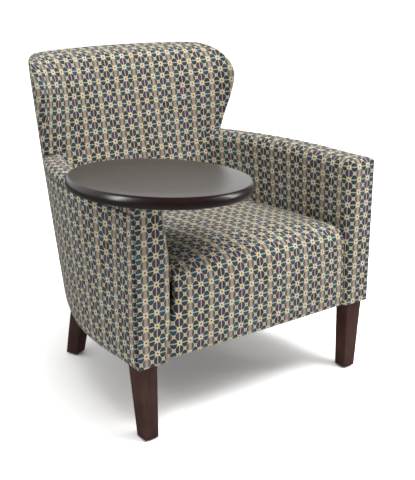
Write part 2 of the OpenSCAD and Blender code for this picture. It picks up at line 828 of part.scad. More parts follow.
bush_r = shaft_d / 2 + shaft_clear + bush_t;
socket_bore_r = bush_r + 0.05;
socket_r = socket_bore_r + socket_t;
pivot_station = side_station(pivot_back);
pivot_d = board_d0 + board_w / 2;
pivot = wall_half(pivot_station, arm_top_z, pivot_d);
tablet_z = arm_top_z + tablet_lift;
washer_t = 2;
flange_t = 4;
bush_l = 24;
flange_seat = arm_board_top + flange_d / 2 * sin(tablet_tilt) + 0.1;
flange_top = flange_seat + flange_t;
socket_screw_l = 14;
socket_top = tablet_z - plate_t - washer_t - 0.1;
socket_low = arm_board_top - socket_l;
screw_d = 4;

// Frame of the leaning pivot, whose heights are counted along the shaft
module at_pivot(z) {
    translate(pivot)
        rotate([0, tablet_tilt, 0])
            translate([0, 0, z - arm_top_z])
                children();
}

// Screws on a circle round the pivot
module screw_circle(circle_d, count) {
    for (i = [0:count - 1])
        rotate(45 + i * 360 / count)
            translate([circle_d / 2, 0, 0])
                children();
}

flange_circle = 2 * socket_r + screw_d + 3;

// Flanged tube let into the arm board
module pivot_socket() {
    color(steel_col)
        at_pivot(0)
            difference() {
                rotate_extrude()
                    polygon([[socket_bore_r, socket_low], [socket_r, socket_low],
                        [socket_r, flange_seat], [flange_d / 2, flange_seat], [flange_d / 2, flange_top],
                        [socket_r, flange_top], [socket_r, socket_top],
                        [socket_bore_r, socket_top]]);
                screw_circle(flange_circle, 4)
                    translate([0, 0, flange_seat - 1])
                        cylinder(h = flange_t + 2, d = screw_d + 2 * bolt_clear);
            }
}

module socket_screws() {
    color(steel_col)
        at_pivot(flange_top)
            screw_circle(flange_circle, 4) {
                cylinder(h = 2, d = screw_d + 2);
                translate([0, 0, -flange_t - socket_screw_l])
                    cylinder(h = flange_t + socket_screw_l, d = screw_d);
            }
}

module bush(z) {
    color(nylon_col)
        at_pivot(z)
            difference() {
                cylinder(h = bush_l, r = bush_r);
                translate([0, 0, -1])
                    cylinder(h = bush_l + 2, r = shaft_d / 2 + shaft_clear);
            }
}

module pivot_bush_upper() {
    bush(socket_top - bush_l);
}

module pivot_bush_lower() {
    bush(socket_low);
}

module thrust_washer() {
    color(nylon_col)
        at_pivot(socket_top + 0.1)
            difference() {
                cylinder(h = washer_t, r = socket_r);
                translate([0, 0, -1])
                    cylinder(h = washer_t + 2, r = shaft_d / 2 + shaft_clear);
            }
}

shaft_tail = 16;
shaft_low = socket_low - shaft_tail;

module pivot_shaft() {
    color(steel_col)
        at_pivot(shaft_low)
            cylinder(h = tablet_z - plate_t - shaft_low, d = shaft_d);
}

collar_h = 12;

module shaft_collar() {
    color(steel_col)
        at_pivot(socket_low - 0.1 - collar_h)
            difference() {
                cylinder(h = collar_h, r = socket_r);
                translate([0, 0, -1])
                    cylinder(h = collar_h + 2, r = shaft_d / 2 + shaft_clear);
            }
}

plate_margin = 12;
plate_circle = plate_d - 2 * plate_margin;

module tablet_plate() {
    color(steel_col)
        at_pivot(tablet_z - plate_t)
            difference() {
                cylinder(h = plate_t, d = plate_d);
                screw_circle(plate_circle, 6)
                    translate([0, 0, -1])
                        cylinder(h = plate_t + 2, d = screw_d + 2 * bolt_clear);
            }
}

plate_screw_l = 15;

module plate_screws() {
    color(steel_col)
        at_pivot(tablet_z - plate_t)
            screw_circle(plate_circle, 6) {
                cylinder(h = plate_t + plate_screw_l, d = screw_d);
                translate([0, 0, -1.6])
                    cylinder(h = 1.6, d1 = screw_d + 1, d2 = screw_d + 4);
            }
}

edge_top_r = 6;
edge_low_r = 15;

// Half of the tablet's section: rounded more below than above
module tablet_profile() {
    r = tablet_d / 2;
    intersection() {
        square([r, tablet_t]);
        union() {
            square([r - edge_low_r, tablet_t]);
            translate([0, edge_low_r])
                square([r, tablet_t - edge_low_r - edge_top_r]);
            translate([0, edge_low_r])
                square([r - edge_top_r, tablet_t - edge_low_r]);
            translate([r - edge_low_r, edge_low_r])
                circle(edge_low_r);
            translate([r - edge_top_r, tablet_t - edge_top_r])
                circle(edge_top_r);
        }
    }
}

// Round top with a bullnose edge and screw holes in its underside
module tablet_top() {
    color(stain_col)
        difference() {
            at_pivot(tablet_z)
                translate([tablet_off_x, -tablet_off_y, 0])
                    rotate_extrude($fn = 96)
                        tablet_profile();
            at_pivot(tablet_z)
                screw_circle(plate_circle, 6)
                    translate([0, 0, -1])
                        cylinder(h = plate_screw_l + 1, d = screw_d + 2 * bolt_clear);
        }
}

front_leg_left();
front_leg_right();
rear_leg_left();
rear_leg_right();
leg_glides();
leg_plates();
leg_bolts();
front_rail();
rear_rail();
side_rail_left();
side_rail_right();
corner_blocks();
front_post_left();
front_post_right();
back_post_left();
back_post_right();
arm_board_left();
arm_board_right();
wing_board_left();
wing_board_right();
back_top_rail();
back_lower_rail();
back_webbing();
seat_springs();
spring_clips();
dust_cover();
seat();
inside_back();
arm_pad_left();
arm_pad_right();
arm_front_left();
arm_front_right();
outside_arm_left();
outside_arm_right();
outside_back();
pivot_socket();
socket_screws();
pivot_bush_upper();
pivot_bush_lower();
thrust_washer();
pivot_shaft();
shaft_collar();
tablet_plate();
plate_screws();
tablet_top();
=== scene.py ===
"""Upholstered tub chair with wings, four tapered legs and a round writing tablet on one arm.

The padded covers, the legs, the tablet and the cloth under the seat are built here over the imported
frame. The hidden frame and the swivel fittings keep their solids and get a finish. Sizes are in
millimetres unless a docstring says otherwise, and meshes are made in metres.
"""
from __future__ import annotations

import json
import logging
import math
from dataclasses import dataclass, field
from enum import Enum

import bmesh
import bpy
from mathutils import Matrix, Vector

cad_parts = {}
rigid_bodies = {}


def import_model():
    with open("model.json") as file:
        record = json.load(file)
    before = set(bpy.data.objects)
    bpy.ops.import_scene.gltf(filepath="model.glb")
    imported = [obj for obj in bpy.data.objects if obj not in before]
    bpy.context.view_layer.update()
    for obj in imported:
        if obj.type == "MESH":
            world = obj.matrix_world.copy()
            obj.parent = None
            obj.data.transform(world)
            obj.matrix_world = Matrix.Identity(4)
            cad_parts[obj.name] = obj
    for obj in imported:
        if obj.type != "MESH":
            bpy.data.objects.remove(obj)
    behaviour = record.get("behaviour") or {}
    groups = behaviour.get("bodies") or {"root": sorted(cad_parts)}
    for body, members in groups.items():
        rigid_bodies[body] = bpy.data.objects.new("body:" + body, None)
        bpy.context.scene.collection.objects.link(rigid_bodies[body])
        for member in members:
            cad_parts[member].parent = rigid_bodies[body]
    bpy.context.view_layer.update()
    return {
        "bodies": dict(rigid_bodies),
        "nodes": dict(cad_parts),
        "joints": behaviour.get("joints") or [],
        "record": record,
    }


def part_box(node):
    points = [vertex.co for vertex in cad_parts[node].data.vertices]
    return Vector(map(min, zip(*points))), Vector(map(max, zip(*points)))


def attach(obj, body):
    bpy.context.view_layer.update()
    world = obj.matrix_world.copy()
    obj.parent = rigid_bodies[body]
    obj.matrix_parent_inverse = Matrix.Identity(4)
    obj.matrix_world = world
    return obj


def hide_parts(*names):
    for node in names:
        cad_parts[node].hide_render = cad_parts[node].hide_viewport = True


LOG = logging.getLogger("tablet_chair")
MM = 0.001
WEAVE = "weave"
Tree = bpy.types.NodeTree
Node = bpy.types.Node
Socket = bpy.types.NodeSocket
# A place on the cloth or in plan, or the two ends of a range
Spot = tuple[float, float]
# A place in space
Point = tuple[float, float, float]


class Side(Enum):
    """The chair's two sides, by the sign of X."""

    LEFT = -1
    RIGHT = 1


class Body(Enum):
    """The bodies that pieces move with."""

    CHAIR = "chair"
    TABLET = "tablet"


def mix(a: float, b: float, f: float) -> float:
    """Return the value a share f of the way from a to b."""
    return a + (b - a) * f


def smooth(f: float) -> float:
    """Return an eased step from 0 to 1 over the same range of f."""
    c = min(1.0, max(0.0, f))
    return c * c * (3.0 - 2.0 * c)


def linear(code: str) -> tuple[float, float, float, float]:
    """Turn an sRGB hex colour into linear RGBA.

    Args:
        code: Six hex digits after a hash sign.

    Returns:
        Red, green, blue and an alpha of one.
    """
    parts = [int(code[i:i + 2], 16) / 255.0 for i in (1, 3, 5)]
    red, green, blue = (p / 12.92 if p <= 0.04045 else ((p + 0.055) / 1.055) ** 2.4 for p in parts)
    return red, green, blue, 1.0


def add(tree: Tree, kind: str, links: dict | None = None, **settings) -> Node:
    """Add one shader node to a tree.

    Args:
        tree: The node tree that takes the node.
        kind: Blender's type name of the node, without the words that all shader nodes share.
        links: Input name or index, to a socket, a node's first output, a hex colour or a plain value.
        settings: Properties of the node itself.

    Returns:
        The new node.
    """
    node = tree.nodes.new("ShaderNode" + kind)
    for name, value in settings.items():
        setattr(node, name, value)
    for name, value in (links or {}).items():
        if isinstance(value, Node):
            value = value.outputs[0]
        if isinstance(value, Socket):
            tree.links.new(value, node.inputs[name])
        else:
            node.inputs[name].default_value = linear(value) if isinstance(value, str) else value
    return node


def new_material(name: str) -> tuple[bpy.types.Material, Tree]:
    """Make an empty node material.

    Args:
        name: The material's name.

    Returns:
        The material and its node tree.
    """
    material = bpy.data.materials.new(name)
    material.use_nodes = True
    material.node_tree.nodes.clear()
    return material, material.node_tree


def surface(tree: Tree, height: Node, strength: float, depth: float, inputs: dict) -> None:
    """Close a material with a principled shader and a relief.

    Args:
        tree: The material's node tree.
        height: Height of the relief, from 0 to 1.
        strength: How strongly the relief shows.
        depth: Its depth.
        inputs: The shader's other inputs.
    """
    bump = add(tree, "Bump", {"Strength": strength, "Distance": depth * MM, "Height": height})
    shader = add(tree, "BsdfPrincipled", {**inputs, "Normal": bump})
    add(tree, "OutputMaterial", {"Surface": shader})


def new_object(name: str, data: bpy.types.ID) -> bpy.types.Object:
    """Make an object in the scene.

    Args:
        name: The object's name.
        data: Its mesh, light or camera.

    Returns:
        The new object.
    """
    made = bpy.data.objects.new(name, data)
    bpy.context.scene.collection.objects.link(made)
    return made


def mirror(p: Vector) -> Vector:
    """Return a point's mirror image across the centre plane."""
    return Vector((-p.x, p.y, p.z))


def shaped(name: str, shell: bmesh.types.BMesh, material: bpy.types.Material,
           crease: float = 180.0) -> bpy.types.Object:
    """Make a smooth-shaded object of a bmesh, which is used up.

    Args:
        name: The object's name.
        shell: The shape.
        material: Its material.
        crease: Angle in degrees from which an edge stays sharp.

    Returns:
        The new object.
    """
    mesh = bpy.data.meshes.new(name)
    shell.to_mesh(mesh)
    shell.free()
    mesh.materials.append(material)
    mesh.polygons.foreach_set("use_smooth", [True] * len(mesh.polygons))
    if crease < 180.0:
        mesh.set_sharp_from_angle(angle=math.radians(crease))
    return new_object(name, mesh)


def declare(piece: bpy.types.Object, body: Body, nodes: list[str]) -> None:
    """Say what a piece rides on and stands for: attach it to its body and hide the solids that it replaces.

    Args:
        piece: The piece.
        body: The body that it moves with.
        nodes: The solids that it replaces.
    """
    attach(piece, body.value)
    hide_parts(*nodes)


@dataclass(frozen=True)
class StarJacquard:
    """Polyester jacquard, woven flat: eight-point stars on a lattice with dark lenses between them."""

    cell_w: float = 31.0
    cell_h: float = 34.6
    thread: float = 1.3
    across_half: Spot = (0.29, 0.38)
    upright_half: Spot = (0.375, 0.32)
    points: float = 8.0
    notch_r: float = 3.9
    tip_r: float = 8.6
    eye_r: Spot = (3.0, 1.7)
    knot_r: Spot = (2.0, 1.0)
    ground: str = "#e6dfc6"
    ground_dim: str = "#dbd2bb"
    star: str = "#f0e4b4"
    star_warm: str = "#ebd0a0"
    dot: str = "#4a3119"
    teal: str = "#446672"
    slate: str = "#3b3f3e"
    green: str = "#3e473f"
    green_from: float = 0.78
    plum: str = "#5a4b5c"
    line_blue: str = "#b4c3c6"
    line_lilac: str = "#c4bcc8"
    taupe: str = "#8f857c"
    mauve: str = "#5b544e"
    blush: str = "#b9aa9d"
    knot: str = "#7a5f50"

    def build(self) -> bpy.types.Material:
        """Make the cloth: matt yarn with a soft sheen at grazing light and fine crossing threads.

        Returns:
            The finished material.
        """
        material, tree = new_material("woven_polyester_jacquard")
        uv = add(tree, "UVMap", uv_map=WEAVE)
        scale = (1 / self.cell_w / MM, 1 / self.cell_h / MM, 0)
        cells = add(tree, "VectorMath", {0: uv, 1: scale}, operation="MULTIPLY")
        half = add(tree, "VectorMath", {0: cells, 1: (0.5, 0.5, 0)}, operation="SUBTRACT")
        star, mid = (add(tree, "VectorMath", {0: place, 1: (0.5,) * 3, 2: (-0.5,) * 3}, operation="WRAP")
                     for place in (cells, half))
        star_x, star_y, _ = add(tree, "SeparateXYZ", {0: star}).outputs
        mid_x, mid_y, _ = add(tree, "SeparateXYZ", {0: mid}).outputs
        # The ground drifts slowly between two dye lots of the same cream
        drift = add(tree, "TexNoise", {"Vector": cells, "Scale": 0.7, "Detail": 2.0})
        colour = add(tree, "Mix", {0: drift, 6: self.ground, 7: self.ground_dim}, data_type="RGBA")
        mask = self._lens(tree, star_x, mid_y, self.upright_half)
        lens = self._upright_colour(tree, cells, star_x)
        colour = add(tree, "Mix", {0: mask, 6: colour.outputs[2], 7: lens}, data_type="RGBA")
        mask = self._lens(tree, mid_x, star_y, self.across_half)
        lens = self._across_colour(tree, cells, star_y)
        colour = add(tree, "Mix", {0: mask, 6: colour.outputs[2], 7: lens}, data_type="RGBA")
        colour = self._star(tree, colour.outputs[2], cells, star, mid)
        # The real yarn is about 0.4 mm thick, and is drawn three times as coarse so that it shows
        yarn = {"Vector": uv, "Scale": 2 * math.pi / 20 / (self.thread * MM)}
        warp, weft = (add(tree, "TexWave", yarn, bands_direction=way).outputs[1] for way in "XY")
        height = add(tree, "Math", {0: warp, 1: weft}, operation="MULTIPLY")
        # The colour follows the threads' relief: painted shade in the dips between threads and a little
        # painted light on their tops
        shade = add(tree, "MapRange", {"Value": height, "To Min": 0.86, "To Max": 1.1})
        colour = add(tree, "Mix", {0: 1.0, 6: colour, 7: shade}, data_type="RGBA", blend_type="MULTIPLY")
        surface(tree, height, strength=0.3, depth=0.4, inputs={
            "Base Color": colour.outputs[2], "Roughness": 0.88, "Specular IOR Level": 0.25,
            "Sheen Weight": 0.12, "Sheen Roughness": 0.5})
        return material

    @staticmethod
    def _lens(tree: Tree, x: Socket, y: Socket, half: Spot) -> Node:
        """Mask one rounded lens.

        Args:
            tree: The material's node tree.
            x: Distance from the lens centre across, in cells.
            y: Distance from the lens centre upward, in cells.
            half: Half of the lens's width and height, in cells.

        Returns:
            A node that gives 1 inside the lens and 0 outside.
        """
        place = add(tree, "CombineXYZ", {0: x, 1: y})
        unit = add(tree, "VectorMath", {0: place, 1: (1 / half[0], 1 / half[1], 0)}, operation="MULTIPLY")
        far = add(tree, "VectorMath", {0: unit}, operation="LENGTH").outputs["Value"]
        return add(tree, "MapRange", {"Value": far, "From Min": 1.07, "From Max": 0.93},
                   interpolation_type="SMOOTHSTEP")

    @staticmethod
    def _chance(tree: Tree, cells: Node, shift: Point) -> tuple[Node, Node]:
        """Draw a chance for each cell.

        Args:
            tree: The material's node tree.
            cells: Place on the cloth, in cells.
            shift: How far the cells are moved first.

        Returns:
            The cell's number and its chance.
        """
        moved = add(tree, "VectorMath", {0: cells, 1: shift}, operation="ADD")
        number = add(tree, "VectorMath", {0: moved}, operation="FLOOR")
        return number, add(tree, "TexWhiteNoise", {"Vector": number}, noise_dimensions="2D")

    def _upright_colour(self, tree: Tree, cells: Node, x: Socket) -> Socket:
        """Colour the lenses between stars of one column: plum with a pale line, and striped, by turns.

        Args:
            tree: The material's node tree.
            cells: Place on the cloth, in cells.
            x: Distance from the column, in cells.

        Returns:
            The lenses' colour.
        """
        off = add(tree, "Math", {0: x}, operation="ABSOLUTE")
        number, chance = self._chance(tree, cells, (0.5, 0, 0))
        column = add(tree, "SeparateXYZ", {0: number})
        turn = add(tree, "Math", {0: column, 1: 2.0}, operation="FLOORED_MODULO")
        plum = add(tree, "Mix", {0: chance, 6: self.plum, 7: self.slate}, data_type="RGBA")
        line = add(tree, "MapRange", {"Value": off, "From Min": 0.06, "From Max": 0.02},
                   interpolation_type="SMOOTHSTEP")
        plum = add(tree, "Mix", {0: line, 6: plum.outputs[2], 7: self.line_lilac}, data_type="RGBA")
        band = add(tree, "MapRange", {"Value": off, "From Min": 0.19, "From Max": 0.11},
                   interpolation_type="SMOOTHSTEP")
        stripes = add(tree, "Mix", {0: band, 6: self.mauve, 7: self.blush}, data_type="RGBA")
        fade = add(tree, "MapRange", {"Value": chance, "To Max": 0.35})
        stripes = add(tree, "Mix", {0: fade, 6: stripes.outputs[2], 7: self.taupe}, data_type="RGBA")
        lens = add(tree, "Mix", {0: turn, 6: plum.outputs[2], 7: stripes.outputs[2]}, data_type="RGBA")
        return lens.outputs[2]

    def _across_colour(self, tree: Tree, cells: Node, y: Socket) -> Socket:
        """Colour the dark lenses between stars of one row, each split by a pale line.

        Args:
            tree: The material's node tree.
            cells: Place on the cloth, in cells.
            y: Distance from the row, in cells.

        Returns:
            The lenses' colour.
        """
        off = add(tree, "Math", {0: y}, operation="ABSOLUTE")
        _, chance = self._chance(tree, cells, (0, 0.5, 0))
        first, second, _ = add(tree, "SeparateXYZ", {0: chance.outputs[1]}).outputs
        mottle = add(tree, "TexNoise", {"Vector": cells, "Scale": 5.0, "Detail": 2.0})
        tone = add(tree, "Math", {0: first, 1: mottle}, operation="ADD")
        tone = add(tree, "MapRange", {"Value": tone, "From Min": 0.35, "From Max": 1.5})
        petal = add(tree, "Mix", {0: tone, 6: self.teal, 7: self.slate}, data_type="RGBA")
        odd = add(tree, "Math", {0: second, 1: self.green_from}, operation="GREATER_THAN")
        petal = add(tree, "Mix", {0: odd, 6: petal.outputs[2], 7: self.green}, data_type="RGBA")
        rim = add(tree, "MapRange", {"Value": off, "From Min": 0.08, "From Max": 0.36, "To Max": 0.6})
        petal = add(tree, "Mix", {0: rim, 6: petal.outputs[2], 7: self.slate}, data_type="RGBA")
        line = add(tree, "MapRange", {"Value": off, "From Min": 0.065, "From Max": 0.02},
                   interpolation_type="SMOOTHSTEP")
        petal = add(tree, "Mix", {0: line, 6: petal.outputs[2], 7: self.line_blue}, data_type="RGBA")
        return petal.outputs[2]

    def _star(self, tree: Tree, under: Socket, cells: Node, star: Node, mid: Node) -> Socket:
        """Lay the eight-point stars, their dark eyes and the small knots between them over the cloth.

        Args:
            tree: The material's node tree.
            under: Colour below the stars.
            cells: Place on the cloth, in cells.
            star: Place round the nearest star, in cells.
            mid: Place round the nearest cell centre, in cells.

        Returns:
            The colour with the stars.
        """
        size = (self.cell_w, self.cell_h, 0)
        place = add(tree, "VectorMath", {0: star, 1: size}, operation="MULTIPLY")
        far = add(tree, "VectorMath", {0: place}, operation="LENGTH").outputs["Value"]
        x, y, _ = add(tree, "SeparateXYZ", {0: place}).outputs
        turn = add(tree, "Math", {0: y, 1: x}, operation="ARCTAN2")
        turn = add(tree, "Math", {0: turn, 1: self.points}, operation="MULTIPLY")
        wave = add(tree, "Math", {0: turn}, operation="COSINE")
        tip = add(tree, "MapRange", {"Value": wave, "From Min": -1.0, "To Min": self.notch_r,
                                     "To Max": self.tip_r})
        inside = add(tree, "Math", {0: tip, 1: far}, operation="SUBTRACT")
        ray = add(tree, "MapRange", {"Value": inside, "From Min": -0.6, "From Max": 1.2},
                  interpolation_type="SMOOTHSTEP")
        _, chance = self._chance(tree, cells, (0.5, 0.5, 0))
        yarn = add(tree, "Mix", {0: chance, 6: self.star, 7: self.star_warm}, data_type="RGBA")
        colour = add(tree, "Mix", {0: ray, 6: under, 7: yarn.outputs[2]}, data_type="RGBA")
        small = add(tree, "VectorMath", {0: mid, 1: size}, operation="MULTIPLY")
        near = add(tree, "VectorMath", {0: small}, operation="LENGTH").outputs["Value"]
        # A dark eye in each star, and a brown knot halfway between four stars
        for reach, (outer, inner), tone in ((far, self.eye_r, self.dot), (near, self.knot_r, self.knot)):
            spot = add(tree, "MapRange", {"Value": reach, "From Min": outer, "From Max": inner},
                       interpolation_type="SMOOTHSTEP")
            colour = add(tree, "Mix", {0: spot, 6: colour.outputs[2], 7: tone}, data_type="RGBA")
        return colour.outputs[2]


@dataclass(frozen=True)
class StainedBeech:
    """Beech, turned or sawn, with an espresso stain and a sprayed satin lacquer."""

    name: str = "espresso_stained_beech"
    light: str = "#5d3c34"
    dark: str = "#3e2723"
    grain: float = 2.2
    length: float = 60.0
    axis: int = 2
    roughness: float = 0.3
    coat: float = 0.1
    coat_roughness: float = 0.12
    relief: float = 0.08

    def build(self) -> bpy.types.Material:
        """Make the wood: nearly black-brown, faint straight grain, soft reflections of the room.

        Returns:
            The finished material.
        """
        material, tree = new_material(self.name)
        place = add(tree, "TexCoord").outputs["Object"]
        stretch = [1 / self.grain / MM] * 3
        stretch[self.axis] = 1 / self.length / MM
        run = add(tree, "VectorMath", {0: place, 1: stretch}, operation="MULTIPLY")
        grain = add(tree, "TexNoise", {"Vector": run, "Scale": 1.0, "Detail": 4.0, "Roughness": 0.6})
        cloud = add(tree, "TexNoise", {"Vector": place, "Scale": 14.0, "Detail": 2.0})
        tone = add(tree, "Math", {0: grain, 1: cloud}, operation="MULTIPLY")
        tone = add(tree, "MapRange", {"Value": tone, "From Min": 0.12, "From Max": 0.4})
        colour = add(tree, "Mix", {0: tone, 6: self.dark, 7: self.light}, data_type="RGBA")
        gloss = add(tree, "MapRange", {"Value": grain, "To Min": self.roughness - 0.04,
                                       "To Max": self.roughness + 0.06})
        surface(tree, grain, strength=self.relief, depth=0.2, inputs={
            "Base Color": colour.outputs[2], "Roughness": gloss, "IOR": 1.5, "Coat Weight": self.coat,
            "Coat Roughness": self.coat_roughness})
        return material


@dataclass(frozen=True)
class PlainFinish:
    """A finish of one material whose surface is only mottled: bare wood, steel, nylon, rubber or cloth."""

    name: str
    colour: str
    other: str
    roughness: float
    grit: float
    metallic: float = 0.0
    ior: float = 1.5
    bump: float = 0.1
    stretch: float = 1.0

    def build(self) -> bpy.types.Material:
        """Make the material: two close tones mottled at the grit's size, with a slight relief.

        Returns:
            The finished material.
        """
        material, tree = new_material(self.name)
        place = add(tree, "TexCoord").outputs["Object"]
        step = 1 / self.grit / MM
        run = add(tree, "VectorMath", {0: place, 1: (step / self.stretch, step, step)}, operation="MULTIPLY")
        grain = add(tree, "TexNoise", {"Vector": run, "Scale": 1.0, "Detail": 3.0})
        colour = add(tree, "Mix", {0: grain, 6: self.colour, 7: self.other}, data_type="RGBA")
        gloss = add(tree, "MapRange", {"Value": grain, "To Min": self.roughness - 0.06,
                                       "To Max": self.roughness + 0.06})
        surface(tree, grain, strength=self.bump, depth=0.3, inputs={
            "Base Color": colour.outputs[2], "Roughness": gloss, "Metallic": self.metallic, "IOR": self.ior})
        return material


# Kiln-dried beech, planed: pale and straight, only seen from inside
FRAME_WOOD = PlainFinish("planed_beech", "#cdb083", "#b8966a", 0.6, 3.0, bump=0.2, stretch=20.0)
# Mild steel, zinc plated: a grey metal with a soft mottle
ZINC_STEEL = PlainFinish("zinc_plated_steel", "#a9acae", "#8b8f93", 0.38, 2.0, metallic=1.0)
# Polyamide, turned from rod: off-white and waxy
NYLON = PlainFinish("turned_polyamide", "#e4dfd2", "#d6d0c2", 0.45, 1.5, ior=1.53)
# Polyethylene, moulded: black with a fine mould texture
GLIDE = PlainFinish("moulded_polyethylene", "#232323", "#2d2d2d", 0.5, 0.8, ior=1.51)
# Spun-bonded polypropylene: matt black cloth with a fleecy surface
UNDER_CLOTH = PlainFinish("spunbond_polypropylene", "#232324", "#313132", 0.92, 1.2, bump=0.4)
# Rubberised webbing: dull black-brown straps
STRAP = PlainFinish("elastic_webbing", "#2b2724", "#3a342f", 0.85, 1.6, bump=0.5)


@dataclass
class Knot:
    """One point of a cover, in metres.

    At a seam its place on the cloth differs before and after the point. A held point stays where it is
    when the cover swells.
    """

    at: Vector
    before: Spot
    after: Spot
    held: bool = False


def knot(at: Vector, cloth: Spot, held: bool = False) -> Knot:
    """Return a point whose place on the cloth is the same on both sides of it."""
    return Knot(at, cloth, cloth, held)


@dataclass
class Cover:
    """Points and faces of one cover, with cloth coordinates in millimetres for each corner."""

    name: str
    points: list[Vector] = field(default_factory=list)
    held: list[int] = field(default_factory=list)
    faces: list[tuple[int, ...]] = field(default_factory=list)
    cloth: list[Spot] = field(default_factory=list)

    def ring(self, knots: list[Knot]) -> list[int]:
        """Add the points of a ring.

        Args:
            knots: The ring's points in order.

        Returns:
            Their indices.
        """
        start = len(self.points)
        self.points += [k.at for k in knots]
        self.held += [start + i for i, k in enumerate(knots) if k.held]
        return list(range(start, start + len(knots)))

    def face(self, corners: tuple[int, ...], cloth: list[Spot]) -> None:
        """Add one face with the cloth coordinates of its corners."""
        self.faces.append(corners)
        self.cloth += cloth

    def loft(self, rings: list[list[Knot]], first: list[int] | None = None) -> list[list[int]]:
        """Join closed rings of equal length into a tube.

        Args:
            rings: The rings, from one end of the tube to the other.
            first: Indices of points that stand already, for the first ring, where the cloth has a seam.

        Returns:
            The indices of each ring's points.
        """
        rows = [self.ring(r) for r in (rings[1:] if first else rings)]
        rows = [first] + rows if first else rows
        for a, b, p, q in zip(rows, rows[1:], rings, rings[1:]):
            count = len(a)
            for j in range(count):
                k = (j + 1) % count
                self.face((a[j], a[k], b[k], b[j]), [p[j].after, p[k].before, q[k].before, q[j].after])
        return rows

    def zip_ends(self, row: list[int], knots: list[Knot], flip: bool) -> None:
        """Close a ring whose second half runs back along its first half, by a strip between the two.

        Args:
            row: The ring's point indices.
            knots: The ring's points.
            flip: Whether the strip faces the other way.
        """
        count = len(row)
        for j in range(count // 2 - 1):
            quad = (j, count - 1 - j, count - 2 - j, j + 1)
            cloth = (knots[j].after, knots[j].after, knots[j + 1].before, knots[j + 1].before)
            order = (3, 2, 1, 0) if flip else (0, 1, 2, 3)
            self.face(tuple(row[quad[i]] for i in order), [cloth[i] for i in order])

    def tube(self, rings: list[list[Knot]], material: bpy.types.Material) -> bpy.types.Object:
        """Join rings into a tube, close both of its ends and make the mesh object.

        Args:
            rings: The rings, from one end of the tube to the other.
            material: The cover's cloth.

        Returns:
            The new object, linked to the scene.
        """
        rows = self.loft(rings)
        self.zip_ends(rows[0], rings[0], False)
        self.zip_ends(rows[-1], rings[-1], True)
        return self.build(material)

    def build(self, material: bpy.types.Material) -> bpy.types.Object:
        """Make the mesh object.

        Args:
            material: The cover's cloth.

        Returns:
            The new object, linked to the scene.
        """
        mesh = bpy.data.meshes.new(self.name)
        mesh.from_pydata(self.points, [], self.faces)
        layer = mesh.uv_layers.new(name=WEAVE)
        for spot, (u, v) in zip(layer.data, self.cloth):
            spot.uv = (u * MM, v * MM)
        mesh.materials.append(material)
        piece = new_object(self.name, mesh)
        piece.vertex_groups.new(name="held").add(self.held, 1.0, "REPLACE")
        self._turn_outward(mesh)
        mesh.polygons.foreach_set("use_smooth", [True] * len(mesh.polygons))
        return piece

    @staticmethod
    def _turn_outward(mesh: bpy.types.Mesh) -> None:
        """Make every face of a closed mesh look outward.

        Args:
            mesh: The mesh, changed in place.
        """
        shell = bmesh.new()
        shell.from_mesh(mesh)
        bmesh.ops.recalc_face_normals(shell, faces=shell.faces)
        shell.to_mesh(mesh)
        shell.free()


@dataclass(frozen=True)
class Stuffing:
    """How a pad swells: the cloth run's air pressure and frames, how far a point may go and its fill, which
    is not used.
    """

    pressure: float = 4.0
    frames: int = 20
    reach: float = 6.0
    fill: float = 0.85

    def swell(self, piece: bpy.types.Object) -> None:
        """Blow the cover up with Blender's cloth, held along its seams, and keep the result.

        Args:
            piece: The cover, whose group "held" names the points that stay.
        """
        scene = bpy.context.scene
        modifier = piece.modifiers.new("stuffing", "CLOTH")
        cloth = modifier.settings
        cloth.quality = 5
        cloth.mass = 0.3
        cloth.tension_stiffness = cloth.compression_stiffness = 25.0
        cloth.shear_stiffness = 10.0
        cloth.bending_stiffness = 2.0
        cloth.use_pressure = True
        cloth.uniform_pressure_force = self.pressure
        cloth.effector_weights.gravity = 0.0
        cloth.vertex_group_mass = "held"
        modifier.point_cache.frame_start = 1
        modifier.point_cache.frame_end = self.frames
        for frame in range(1, self.frames + 1):
            scene.frame_set(frame)
        swollen = piece.evaluated_get(bpy.context.evaluated_depsgraph_get())
        places = [v.co.copy() for v in swollen.to_mesh().vertices]
        swollen.to_mesh_clear()
        piece.modifiers.remove(modifier)
        scene.frame_set(1)
        limit = self.reach * MM
        for vertex, place in zip(piece.data.vertices, places):
            move = place - vertex.co
            vertex.co += move * (limit / (limit + move.length))


def finish_cover(piece: bpy.types.Object, nodes: list[str]) -> bpy.types.Object:
    """Declare a padded cover, smooth it and let it stand for its solids.

    Args:
        piece: The cover, already swollen.
        nodes: The solids that it replaces.

    Returns:
        The same piece.
    """
    fine = piece.modifiers.new("fine", "SUBSURF")
    fine.levels = fine.render_levels = 1
    declare(piece, Body.CHAIR, nodes)
    return piece


